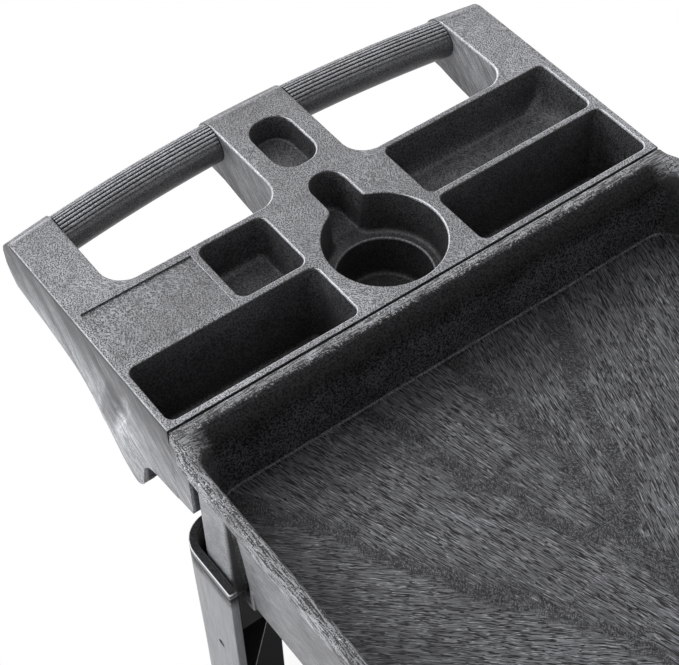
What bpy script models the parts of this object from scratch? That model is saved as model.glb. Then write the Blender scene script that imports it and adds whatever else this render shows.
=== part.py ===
"""Two-tray plastic utility cart with a handle console, four corner legs and casters.

Metres, +Z up. The handle end points to -X, the origin is on the floor below
the middle of the cart's box. Offsets called dx count from the seam between
console and upper tray, dz from the top plane."""
import math

import bmesh
import bpy
from mathutils import Vector

# Whole cart
CART_LENGTH = 0.995
CART_WIDTH = 0.454
CART_HEIGHT = 0.845
GAP = 0.0003              # clearance between pieces that touch
WALL = 0.0045             # usual wall of the mouldings
EDGE = 0.0015             # rounding of visible edges
ROLL_START = 0.3 * EDGE   # mouth of a cutter where the rounding starts, and its rise above the rim
ROLL_OUT = 1.7 * EDGE     # mouth of a cutter at its widest

# Console
CONSOLE_DEPTH = 0.248     # seam to the foremost point of the nose
CONSOLE_WIDTH = 0.440
SEAM_GAP = 0.0014
NOSE_CROWN = 0.0198       # how far the nose stands out in the middle
NOSE_ROUND = 0.022
TOP_SKIN = 0.005
SIDE_WALL = 0.007
LOBE_FLARE = 0.004        # outward swell of the side lobes
ARM_WIDTH = 0.0387
BRIDGE_WIDTH = 0.0694
OPENING_RADIUS = 0.020
ROW_EDGE = 0.131          # seam to the finger openings
TONGUE_LENGTH = 0.020
TONGUE_THICKNESS = 0.007
CONSOLE_SCREW_Y = 0.130
CONSOLE_SCREW_DROP = 0.045
CONSOLE_SCREW_RADIUS = 0.0015
CONSOLE_SCREW_HEAD = 0.0040

# Recesses of the console
BIN_MARGIN = 0.0057       # wall between a bin and the outside
DIVIDER = 0.0055
DEEP_BIN_X = 0.0555
DEEP_BIN_DEPTH = 0.074
CENTRE_HALF = 0.0555      # half of the middle strip between the bins
ROW_BIN_X = 0.059
ROW_BIN_DEPTH = 0.038
POCKET_Y = 0.058
POCKET_DEPTH = 0.040
LABEL_DEPTH = 0.0012
CUP_RADIUS = 0.0462
CUP_LEDGE_DEPTH = 0.039
WELL_RADIUS = 0.037
WELL_DEPTH = 0.075
CUP_SETBACK = 0.0515      # seam to the cup's centre
SLOT_WIDTH = 0.030
SLOT_END = 0.135
OVAL_LENGTH = 0.058
OVAL_WIDTH = 0.037
OVAL_DEPTH = 0.023
OVAL_START = 0.151
OVAL_FLAT = 0.0022        # half of the straight part of each end
SLOT_BLEND = 0.009        # rounding between the cup and its slot

# Grips
GRIP_RADIUS = 0.016
GRIP_SETBACK = 0.0209     # nose line to the grip's axis
GRIP_DROP = 0.0005        # top plane to the grip's top
FLUTE_DEPTH = 0.0012
FLUTE_PITCH = 12          # degrees
FLUTES_FROM = 36          # degrees from the tray's side, over the top
FLUTES_TO = 264
SPIGOT_RADIUS = 0.010
SPIGOT_LENGTH = 0.011

# Trays
TRAY_DEPTH = 0.056
TRAY_CORNER = 0.025
FLOOR_THICKNESS = 0.005
LIP_HEIGHT = 0.012
RIM_WIDTH = 0.0096        # side rim, lip to inner edge
UPPER_SKIRT = 0.136       # rim to the lower edge of the skirt
LOWER_SKIRT = 0.102
END_SETBACK = 0.0208      # lip to the end skirt
SKIRT_SLOPE = 0.0082      # inward lean of the skirts
SIDE_SETBACK = 0.0088     # lip to the side skirt
RIM_STEP = 0.0065         # widening of the upper rim behind the console
RIB = 0.0035
RIB_HEIGHT = 0.028
LOWER_TRAY_TOP = 0.262

# Corner posts of the trays
POST_X = 0.0384
POST_Y = 0.0403
POST_RADIUS = 0.010
POST_RISE = 0.002         # skirt's lower edge to the post's
TENON = 0.028

# Legs
LEG_TOP = 0.110           # top plane to the leg's rim
LEG_X = 0.069
LEG_Y = 0.072
LEG_WALL = 0.0068
LEG_RADIUS = 0.025
LEG_LEAN = 0.003
LEG_LEAN_END = 0.260
LEG_HOLE_RADIUS = 0.0035
LEG_HOLE_DROP = 0.203
LEG_HOLE_X = 0.0466
NOTCH_OUT = 0.012         # how far a notch of the lower tray reaches outside
GUSSET = 0.004
GUSSET_ANGLES = (14, 45, 76)
TENON_DROP = 0.066        # top plane to the tenon's end
UPPER_SCREW_DROP = 0.105
LOWER_SCREW_RISE = 0.047  # caster plate to the lower leg screw
SCREW_RADIUS = 0.0025
SCREW_HEAD = 0.0055
SCREW_SINK = 0.0036

# Casters
WHEEL_RADIUS = 0.0635
TREAD = 0.032
CASTER_HEIGHT = 0.158
CASTER_END = 0.085        # end of the cart to the caster plate's centre
CASTER_INSET = 0.087      # side of the cart to the caster plate's centre
TRAIL = 0.038
PLATE_X = 0.100
PLATE_Y = 0.085
PLATE = 0.004
HOLES_X = 0.080
HOLES_Y = 0.060
BOLT_RADIUS = 0.004
BOLT_REACH = 0.026
BOLT_HEAD = 0.0075
BOLT_HEAD_HEIGHT = 0.005
AXLE_RADIUS = 0.006
AXLE_HEAD = 0.0105
AXLE_HEAD_HEIGHT = 0.006
AXLE_END = 0.010          # axle bolt beyond the fork
NUT_HEIGHT = 0.007
FORK_INSIDE = 0.0195
FORK_PLATE = 0.0035
FORK_EYE = 0.014          # rounding of a fork's end about the axle
SWIVEL_FORK_HALF = 0.0195
FIXED_FORK_HALF = 0.034
RACE = 0.005
RACE_RADIUS = 0.029
CROWN = 0.0045
CROWN_RADIUS = 0.031
PIN_HEAD = 0.010
HUB_RADIUS = 0.016
TYRE = 0.0165             # thickness of the tyre
PAD_X = 0.108
PAD_Y = 0.092

SEAM_X = -CART_LENGTH / 2 + CONSOLE_DEPTH
TOP = CART_HEIGHT
HALF = CONSOLE_WIDTH / 2
SHELF_X0 = SEAM_X + SEAM_GAP / 2
SHELF_X1 = CART_LENGTH / 2
SHELF_MID = (SEAM_X + SHELF_X1) / 2

# Lower outline of the console's side: distance before the seam, drop below the top
SIDE_OUTLINE = (
    (0.192, 0.0518), (0.158, 0.0575), (0.130, 0.0625), (0.111, 0.0705),
    (0.095, 0.083), (0.0715, 0.106), (0.060, 0.1135), (0.052, 0.1152),
    (0.049, 0.1135), (0.0478, 0.0960), (0.0415, 0.0865), (0.033, 0.082),
    (0.0007, 0.0775),
)
# Nose rounding: distance behind the nose line, drop below the top
NOSE_OUTLINE = (
    (1.0, 0.0), (0.50, 0.0027), (0.16, 0.0095), (0.0, 0.020),
    (0.08, 0.031), (0.52, 0.047),
)
# Section of a tray's room: in from the end, in from the rim, corner radius, height from the rim
ROOM_LEVELS = (
    (0.0330, 0.0094, 0.020, -TRAY_DEPTH), (0.0306, 0.0070, 0.022, -TRAY_DEPTH + 0.0008),
    (0.0293, 0.0058, 0.023, -TRAY_DEPTH + 0.003), (0.0255, 0.0031, 0.021, -0.014),
    (0.0230, 0.0022, 0.0205, -0.008), (0.0185, 0.0010, 0.020, -0.0034),
    (0.0135, -0.0003, 0.020, -0.0009), (0.0045, -0.0029, 0.020, 0.0009),
)
# Run of the upper rim behind the console: along the tray, outward
RIM_RUN = (
    (0.0, -0.0012), (0.0012, 0.0), (0.006, 0.0003), (0.0125, 0.0028), (0.0195, 0.0056), (0.026, 0.0065),
)


def clear_scene():
    for item in list(bpy.data.objects):
        bpy.data.objects.remove(item, do_unlink=True)


def paint(item, colour, roughness, metallic=0.0):
    """Give an object its own plain material."""
    mat = bpy.data.materials.new(item.name)
    mat.use_nodes = True
    shader = mat.node_tree.nodes["Principled BSDF"]
    shader.inputs["Base Color"].default_value = (colour[0], colour[1], colour[2], 1.0)
    shader.inputs["Roughness"].default_value = roughness
    shader.inputs["Metallic"].default_value = metallic
    item.data.materials.clear()
    item.data.materials.append(mat)
    return item


def charcoal(item):
    return paint(item, (0.085, 0.086, 0.089), 0.55)


def rubber(item, shade=0.03):
    return paint(item, (shade, shade, shade), 0.7)


def zinc(item):
    return paint(item, (0.55, 0.56, 0.58), 0.35, 1.0)


def solid(name, *shells):
    """One object from closed shells, faces turned outward."""
    points = []
    faces = []
    for part_points, part_faces in shells:
        start = len(points)
        points.extend(tuple(p) for p in part_points)
        faces.extend(tuple(start + i for i in face) for face in part_faces)
    mesh = bpy.data.meshes.new(name)
    mesh.from_pydata(points, [], faces)
    work = bmesh.new()
    work.from_mesh(mesh)
    bmesh.ops.recalc_face_normals(work, faces=work.faces)
    work.to_mesh(mesh)
    work.free()
    item = bpy.data.objects.new(name, mesh)
    bpy.context.scene.collection.objects.link(item)
    return item


def combine(target, operation, tool):
    """Join a helper object to the target or cut it away."""
    mod = target.modifiers.new(tool.name, "BOOLEAN")
    mod.operation = operation
    mod.object = tool
    mod.solver = "EXACT"
    tool.hide_render = True
    tool.display_type = "WIRE"


def add(target, tool):
    combine(target, "UNION", tool)


def cut(target, tool):
    combine(target, "DIFFERENCE", tool)


def loft(rings, looped=False):
    """Shell through rings of equal length, capped at both ends or looped."""
    count = len(rings[0])
    points = [p for ring in rings for p in ring]
    faces = []
    for r in range(len(rings) if looped else len(rings) - 1):
        a = r * count
        b = (r + 1) % len(rings) * count
        for i in range(count):
            j = (i + 1) % count
            faces.append((a + i, a + j, b + j, b + i))
    if not looped:
        faces.append(tuple(range(count)))
        last = (len(rings) - 1) * count
        faces.append(tuple(range(last, last + count)))
    return points, faces


def rounded(x0, x1, y0, y1, radius, z, steps=4):
    """Level ring of a rectangle with rounded corners."""
    ring = []
    for sx, sy, start in ((1, -1, -90), (1, 1, 0), (-1, 1, 90), (-1, -1, 180)):
        cx = (x1 if sx > 0 else x0) - sx * radius
        cy = (y1 if sy > 0 else y0) - sy * radius
        for k in range(steps + 1):
            angle = math.radians(start + 90 * k / steps)
            ring.append(Vector((cx + radius * math.cos(angle), cy + radius * math.sin(angle), z)))
    return ring


def block(x0, x1, y0, y1, z0, z1, radius=0.001, steps=1):
    """Upright block with rounded or clipped corners."""
    return loft([rounded(x0, x1, y0, y1, radius, z, steps) for z in (z0, z1)])


def circle(centre, radius, axis, segments):
    """Ring round a centre, square to the X, Y or Z axis."""
    ring = []
    for k in range(segments):
        angle = 2 * math.pi * k / segments
        u = radius * math.cos(angle)
        v = radius * math.sin(angle)
        offset = {"X": (0, u, v), "Y": (u, 0, v), "Z": (u, v, 0)}[axis]
        ring.append(Vector(centre) + Vector(offset))
    return ring


def turned(centre, axis, stations, segments=16):
    """Round bar from stations of radius and distance along the axis."""
    step = {"X": Vector((1, 0, 0)), "Y": Vector((0, 1, 0)), "Z": Vector((0, 0, 1))}[axis]
    rings = [circle(Vector(centre) + step * along, radius, axis, segments) for radius, along in stations]
    return loft(rings)


def ringed(centre, axis, stations, segments=24):
    """Ring-shaped body: its section is the closed list of radius and distance."""
    step = {"X": Vector((1, 0, 0)), "Y": Vector((0, 1, 0)), "Z": Vector((0, 0, 1))}[axis]
    rings = [circle(Vector(centre) + step * along, radius, axis, segments) for radius, along in stations]
    return loft(rings, looped=True)


def hexed(centre, radius, axis, count):
    """Six-sided ring of six or twelve points, to join up with a shank."""
    out = []
    for k, point in enumerate(circle(centre, radius, axis, count)):
        scale = math.cos(math.pi / 6) if count == 12 and k % 2 else 1.0
        out.append(Vector(centre) + (point - Vector(centre)) * scale)
    return out


def hex_bolt(centre, axis, shank, reach, head, height, count):
    """Bolt whose head rests at the centre; the shank runs along the axis."""
    step = {"Y": Vector((0, 1, 0)), "Z": Vector((0, 0, 1))}[axis]
    centre = Vector(centre)
    return loft([
        hexed(centre - step * height, head, axis, count),
        hexed(centre, head, axis, count),
        circle(centre, shank, axis, count),
        circle(centre + step * reach, shank, axis, count),
    ])


def pan_screw(centre, axis, sign, reach, shank=SCREW_RADIUS, head=SCREW_HEAD):
    """Round-headed screw; the head rests at the centre."""
    stations = [
        (head * 0.6, -sign * head * 0.6), (head, -sign * head * 0.15), (head, 0.0),
        (shank, 0.0), (shank, sign * reach),
    ]
    return turned(centre, axis, stations, 8)


# Console

def nose_x(y):
    """Front line of the console, crowned towards the middle."""
    return SEAM_X - CONSOLE_DEPTH + NOSE_CROWN * (y / HALF) ** 2


def flare(dx, dz):
    """Outward swell of a side lobe, a slanting ridge that fades upward."""
    ridge = -0.0998 - 0.36 * dz
    rise = min(max((-dz - 0.008) / 0.07, 0.0), 1.0)
    width = 0.05 if dx < ridge else 0.014
    return LOBE_FLARE * rise * rise * (3 - 2 * rise) * math.exp(-((dx - ridge) / width) ** 2)


def console_columns(y, lower):
    """Columns of points of one section of the console, nose to seam."""
    front = nose_x(y)
    rows = len(NOSE_OUTLINE)
    columns = [[Vector((front + share * NOSE_ROUND, y, TOP - max(drop, lower)))
                for share, drop in NOSE_OUTLINE]]
    scale = CONSOLE_DEPTH / 0.248
    first = front + NOSE_ROUND
    last = SEAM_X - SEAM_GAP / 2
    for n, (back, drop) in enumerate(SIDE_OUTLINE):
        share = (n + 1) / len(SIDE_OUTLINE)
        top = Vector((first + (last - first) * share, y, TOP - lower))
        low_x = min(SEAM_X - back * scale, last)
        if n == 0:
            low_x = min(low_x, (first + SEAM_X - SIDE_OUTLINE[1][0] * scale) / 2)
        low = Vector((low_x, y, TOP - drop))
        columns.append([top.lerp(low, k / (rows - 1)) for k in range(rows)])
    return columns


def console_outside():
    """Closed outer shape of the console, hollowed later."""
    stations = [(-HALF, EDGE), (-HALF + EDGE * 0.3, EDGE * 0.3), (-HALF + EDGE, 0.0)]
    inner = HALF - 0.020
    stations += [(-inner + 2 * inner * k / 6, 0.0) for k in range(7)]
    stations += [(-y, lower) for y, lower in stations[2::-1]]
    rings = []
    for y, lower in stations:
        columns = console_columns(y, lower)
        ring = [c[0] for c in columns] + columns[-1][1:-1]
        ring += [c[-1] for c in reversed(columns)] + columns[0][-2:0:-1]
        rings.append(ring)
    points, faces = loft(rings)
    faces = faces[:-2]
    for y, lower in (stations[0], stations[-1]):
        columns = console_columns(y, lower)
        start = len(points)
        rows = len(columns[0])
        for column in columns:
            points.extend(column)
        for i in range(len(columns) - 1):
            for j in range(rows - 1):
                a = start + i * rows + j
                faces.append((a, a + 1, a + rows + 1, a + rows))
    for point in points:
        side = 1 if point.y > 0 else -1
        share = max(0.0, (abs(point.y) - (HALF - 0.016)) / 0.016)
        point.y += side * share * flare(point.x - SEAM_X, point.z - TOP)
    return points, faces


def weld(item):
    """Join the coincident points of the side faces to the skin and split bent faces."""
    work = bmesh.new()
    work.from_mesh(item.data)
    bmesh.ops.remove_doubles(work, verts=work.verts, dist=0.00002)
    bmesh.ops.triangulate(work, faces=[f for f in work.faces if len(f.verts) > 3])
    bmesh.ops.recalc_face_normals(work, faces=work.faces)
    work.to_mesh(item.data)
    work.free()
    return item


def recess(x0, x1, y0, y1, radius, depth, fillets=(0.004,) * 4, draft=0.0012, steps=3):
    """Cutter of a bin: rounded floor, drafted walls, rolled rim.

    The fillets are those of the front, rear, left and right wall."""
    rings = []
    tall = max(fillets)
    for angle in (0, 45, 90):
        lean = 1 - math.sin(math.radians(angle))
        rise = tall * (1 - math.cos(math.radians(angle)))
        a, b, c, d = (draft + f * lean for f in fillets)
        rings.append(rounded(x0 + a, x1 - b, y0 + c, y1 - d, radius, TOP - depth + rise, steps))
    rings.append(rounded(x0, x1, y0, y1, radius, TOP - EDGE, steps))
    for out, up in ((ROLL_START, -ROLL_START), (ROLL_OUT, ROLL_START)):
        rings.append(rounded(x0 - out, x1 + out, y0 - out, y1 + out, radius + out, TOP + up, steps))
    return loft(rings)


def keyhole(grow, z, shrink=0.0):
    """Level outline of the cup with its slot; grow widens it evenly."""
    radius = CUP_RADIUS + grow - shrink
    half = SLOT_WIDTH / 2 + grow - shrink
    cx = SEAM_X - CUP_SETBACK
    end = SEAM_X - SLOT_END - grow + shrink
    blend = SLOT_BLEND
    reach = math.sqrt((radius + blend) ** 2 - (half + blend) ** 2)
    turn = math.atan2(half + blend, reach)
    ring = []
    for k in range(19):
        angle = -(math.pi - turn) + 2 * (math.pi - turn) * k / 18
        ring.append(Vector((cx + radius * math.cos(angle), radius * math.sin(angle), z)))
    for k in range(1, 3):
        angle = -turn + (turn - math.pi / 2) * k / 2
        ring.append(Vector((cx - reach + blend * math.cos(angle), half + blend + blend * math.sin(angle), z)))
    for k in range(6):
        angle = math.pi / 2 + math.pi * k / 5
        ring.append(Vector((end + half + half * math.cos(angle), half * math.sin(angle), z)))
    for k in range(2):
        angle = math.pi / 2 + (turn - math.pi / 2) * k / 2
        ring.append(Vector((cx - reach + blend * math.cos(angle), -half - blend + blend * math.sin(angle), z)))
    return ring


def console_hollows():
    """Space below the console's skin: main room, both arms, the bridge."""
    low = TOP - 0.2
    high = TOP - TOP_SKIN
    front = SEAM_X - ROW_EDGE + SIDE_WALL - 0.001
    main = block(front, SEAM_X - 0.008, -HALF + SIDE_WALL, HALF - SIDE_WALL, low, high, 0.004)
    arms = []
    for side in (-1, 1):
        a = side * (HALF - SIDE_WALL)
        b = side * (HALF - ARM_WIDTH + SIDE_WALL)
        arms.append(block(nose_x(HALF) + 2.4 * GRIP_RADIUS, front + 0.004,
                          min(a, b), max(a, b), low, high - 0.001, 0.004))
    half = BRIDGE_WIDTH / 2 - SIDE_WALL
    bridge = block(nose_x(0) + 2.7 * GRIP_RADIUS, front + 0.004, -half, half, low, high - 0.001, 0.004)
    return main, arms, bridge


def finger_opening(side):
    """Cutter of one finger opening, open towards the nose."""
    y0 = HALF - ARM_WIDTH
    y1 = BRIDGE_WIDTH / 2
    a, b = sorted((side * y0, side * y1))
    x0 = SEAM_X - CONSOLE_DEPTH - 0.03
    x1 = SEAM_X - ROW_EDGE
    rings = [rounded(x0, x1, a, b, OPENING_RADIUS, z, 5) for z in (TOP - 0.2, TOP - EDGE)]
    for out, up in ((ROLL_START, -ROLL_START), (ROLL_OUT, ROLL_START)):
        rings.append(rounded(x0, x1 + out, a - out, b + out, OPENING_RADIUS, TOP + up, 5))
    return loft(rings)


def console():
    body = weld(solid("handle_console", console_outside()))
    main, arms, bridge = console_hollows()
    cut(body, solid("room_main", main))
    cut(body, solid("room_arms", *arms))
    cut(body, solid("room_bridge", bridge))
    cut(body, solid("finger_openings", finger_opening(-1), finger_opening(1)))

    deep0 = SEAM_X - BIN_MARGIN - DEEP_BIN_X
    deep1 = SEAM_X - BIN_MARGIN
    row1 = deep0 - DIVIDER
    row0 = row1 - ROW_BIN_X
    side = HALF - BIN_MARGIN
    w = WALL
    skin = TOP - 0.002
    add(body, solid("wall_oval", loft([rounded(
        SEAM_X - OVAL_START - OVAL_LENGTH - w, SEAM_X - OVAL_START + w,
        -OVAL_WIDTH / 2 - w, OVAL_WIDTH / 2 + w, OVAL_WIDTH / 2 + w - 0.0005, z, 4)
        for z in (TOP - OVAL_DEPTH - w, skin)])))
    add(body, solid("wall_cup", loft([keyhole(w - 0.001, z) for z in (TOP - CUP_LEDGE_DEPTH - w, skin)])))
    cup = (SEAM_X - CUP_SETBACK, 0.0, 0.0)
    add(body, solid("wall_well", turned(cup, "Z", [
        (WELL_RADIUS + w, TOP - WELL_DEPTH - w), (WELL_RADIUS + w, TOP - CUP_LEDGE_DEPTH - 0.001)], 20)))
    pocket1 = -CENTRE_HALF - 0.0017
    pocket0 = pocket1 - POCKET_Y
    add(body, solid("wall_pocket", block(
        row0 - 0.003, row1 + w, pocket0 - w, pocket1 + w, TOP - POCKET_DEPTH - w, skin, 0.004)))
    add(body, solid("wall_row_bin", block(
        row0 - 0.003, row1 + w, CENTRE_HALF - w, side + 0.003, TOP - ROW_BIN_DEPTH - w, skin, 0.004)))
    add(body, solid("walls_deep", *(block(
        deep0 - w, deep1 + 0.002, min(s * (CENTRE_HALF - w), s * (side + 0.003)),
        max(s * (CENTRE_HALF - w), s * (side + 0.003)), TOP - DEEP_BIN_DEPTH - 0.0038, skin, 0.004)
        for s in (-1, 1))))
    add(body, solid("cross_wall", block(
        SEAM_X - 0.0560, SEAM_X - 0.0495, -HALF + SIDE_WALL - 0.002, HALF - SIDE_WALL + 0.002,
        TOP - 0.1128, TOP - DEEP_BIN_DEPTH + 0.001)))
    tongues = []
    for s in (-1, 1):
        a, b = sorted((s * (HALF - 0.0001), s * (HALF - TONGUE_THICKNESS)))
        outline = [(-0.003, -LIP_HEIGHT - GAP), (TONGUE_LENGTH, -LIP_HEIGHT - GAP),
                   (TONGUE_LENGTH, -0.0735), (-0.003, -0.0770)]
        tongues.append(loft([[Vector((SEAM_X + dx, y, TOP + dz)) for dx, dz in outline] for y in (a, b)]))
    add(body, solid("tongues", *tongues))

    round_floor = (0.009, 0.004, 0.004, 0.022)
    cut(body, solid("bins",
        recess(deep0, deep1, -side, -CENTRE_HALF, 0.007, DEEP_BIN_DEPTH),
        recess(deep0, deep1, CENTRE_HALF, side, 0.007, DEEP_BIN_DEPTH),
        recess(row0, row1, CENTRE_HALF - 0.0015, side - 0.002, 0.007, ROW_BIN_DEPTH, round_floor),
        recess(row0, row1, pocket0, pocket1, 0.008, POCKET_DEPTH, (0.007, 0.004, 0.004, 0.004)),
        recess(SEAM_X - OVAL_START - OVAL_LENGTH, SEAM_X - OVAL_START, -OVAL_WIDTH / 2, OVAL_WIDTH / 2,
               OVAL_WIDTH / 2 - OVAL_FLAT, OVAL_DEPTH, (OVAL_FLAT,) * 4, 0.001, 5)))
    cut(body, solid("label_panel", loft([rounded(
        row0 + 0.002 - o, row1 - 0.001 + o, -side - 0.001 + 0.002 - o, pocket0 - DIVIDER + o, 0.003 + o, z, 3)
        for o, z in ((0.0, TOP - LABEL_DEPTH), (0.0008, TOP + 0.0004))])))
    cut(body, solid("cup_slot", loft([
        keyhole(0.0, TOP - CUP_LEDGE_DEPTH, 0.005), keyhole(0.0, TOP - CUP_LEDGE_DEPTH + 0.0008, 0.0028),
        keyhole(0.0, TOP - CUP_LEDGE_DEPTH + 0.004, 0.0012), keyhole(0.0, TOP - EDGE),
        keyhole(ROLL_START, TOP - ROLL_START), keyhole(ROLL_OUT, TOP + ROLL_START)])))
    cut(body, solid("cup_well", turned(cup, "Z", [
        (WELL_RADIUS - 0.006, TOP - WELL_DEPTH), (WELL_RADIUS - 0.0032, TOP - WELL_DEPTH + 0.001),
        (WELL_RADIUS - 0.002, TOP - WELL_DEPTH + 0.004), (WELL_RADIUS, TOP - CUP_LEDGE_DEPTH - EDGE),
        (WELL_RADIUS + ROLL_OUT, TOP - CUP_LEDGE_DEPTH + EDGE - ROLL_START)], 24)))
    sockets = []
    for s in (-1, 1):
        for y, way in ((s * (HALF - ARM_WIDTH), s), (s * BRIDGE_WIDTH / 2, -s)):
            centre = (grip_x(y), y, TOP - GRIP_RADIUS - GRIP_DROP)
            radius = SPIGOT_RADIUS + 2 * GAP
            reach = way * (SPIGOT_LENGTH + GAP)
            sockets.append(turned(centre, "Y", [(radius, -way * 0.004), (radius, reach)], 14))
    cut(body, solid("grip_sockets", *sockets))
    bore = CONSOLE_SCREW_RADIUS + GAP
    holes = [turned((SEAM_X, s * CONSOLE_SCREW_Y, TOP - CONSOLE_SCREW_DROP), "X",
                    [(bore, -0.012), (bore, 0.004)], 8) for s in (-1, 1)]
    cut(body, solid("console_screw_holes", *holes))
    return charcoal(body)


def grip_x(y):
    return nose_x(y) + GRIP_SETBACK


def grip_section():
    """Angles round a grip, each with its cut: close flutes over the top and the nose side, plain below."""
    half = FLUTE_PITCH / 2
    count = round((FLUTES_TO - FLUTES_FROM) / half)
    out = [(FLUTES_FROM + half * k, FLUTE_DEPTH if k % 2 else 0.0) for k in range(count + 1)]
    plain = 360 - half * count
    out += [(FLUTES_FROM + half * count + plain * k / 8, 0.0) for k in range(1, 8)]
    return out


def grip(name, side):
    """Fluted round bar between an arm and the bridge, with a spigot at each end."""
    y0 = HALF - ARM_WIDTH - GAP
    y1 = BRIDGE_WIDTH / 2 + GAP
    z = TOP - GRIP_RADIUS - GRIP_DROP

    def ring(y, radius, fluted, x):
        out = []
        for degrees, flute in grip_section():
            r = radius - (flute if fluted else 0.0)
            angle = math.radians(degrees)
            out.append(Vector((x + r * math.cos(angle), side * y, z + r * math.sin(angle))))
        return out

    rings = []
    x = grip_x(HALF - ARM_WIDTH)
    rings.append(ring(y0 + SPIGOT_LENGTH, SPIGOT_RADIUS, False, x))
    rings.append(ring(y0, SPIGOT_RADIUS, False, x))
    rings.append(ring(y0, GRIP_RADIUS - FLUTE_DEPTH, False, x))
    for k in range(3):
        y = y0 - 0.001 + (y1 - y0 + 0.002) * k / 2
        rings.append(ring(y, GRIP_RADIUS, True, grip_x(y)))
    x = grip_x(BRIDGE_WIDTH / 2)
    rings.append(ring(y1, GRIP_RADIUS - FLUTE_DEPTH, False, x))
    rings.append(ring(y1, SPIGOT_RADIUS, False, x))
    rings.append(ring(y1 - SPIGOT_LENGTH, SPIGOT_RADIUS, False, x))
    return rubber(solid(name, loft(rings)), 0.04)


# Trays

def rim_ring(x0, x1, half, radius, z, step):
    """Ring of the rim. With a step its seam end is narrower and square, with an S-shaped run out."""
    if step <= 0:
        return rounded(x0, x1, -half, half, radius, z, 5)
    ring = rounded(x0, x1, -half, half, radius, z, 5)
    narrow = half - step
    scale = step / RIM_RUN[-1][1]
    left = [Vector((x0 + dx, -(narrow + dy * (scale if dy > 0 else 1)), z)) for dx, dy in RIM_RUN]
    right = [Vector((p.x, -p.y, z)) for p in reversed(left)]
    return ring[:12] + right + left


def tray_room(x0, x1, half, top):
    """Cutter of the tray: floor fillet, drafted walls, rolled rim."""
    inner = half - RIM_WIDTH
    return loft([rounded(x0 + dx, x1 - dx, -inner + dy, inner - dy, r, top + dz, 5)
                 for dx, dy, r, dz in ROOM_LEVELS])


def corners():
    """The four corners: name, mirror signs along the cart and across it."""
    return (("rear_left", 1, -1), ("rear_right", 1, 1), ("front_left", -1, -1), ("front_right", -1, 1))


def at_corner(sx, sy, dx, dy, z):
    """Point at dx from the tray's end and dy from its outer side."""
    return Vector((SHELF_MID + sx * (SEAM_X + dx - SHELF_MID), sy * (CART_WIDTH / 2 - dy), z))


def post(sx, sy, z0, z1):
    """Corner post: block with one large rounding at the outer corner."""
    rings = []
    for z in (z0, z1):
        ring = []
        for k in range(4):
            angle = math.radians(90 * k / 3)
            r = POST_RADIUS
            ring.append((END_SETBACK - 0.0002 + r - r * math.cos(angle),
                         SIDE_SETBACK - 0.0001 + r - r * math.sin(angle)))
        ring.append((END_SETBACK + POST_X, SIDE_SETBACK - 0.0001))
        ring.append((END_SETBACK + POST_X, SIDE_SETBACK + POST_Y))
        ring.append((END_SETBACK - 0.0002, SIDE_SETBACK + POST_Y))
        rings.append([at_corner(sx, sy, dx, dy, z) for dx, dy in ring])
    return loft(rings)


def tenon_centre():
    """Middle of the post, as distances from the tray's end and side."""
    return END_SETBACK + POST_X / 2, SIDE_SETBACK + POST_Y / 2


def corner_block(sx, sy, half_x, half_y, z0, z1):
    """Block centred on a post."""
    cx, cy = tenon_centre()
    p = at_corner(sx, sy, cx, cy, 0)
    return block(p.x - half_x, p.x + half_x, p.y - half_y, p.y + half_y, z0, z1)


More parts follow.
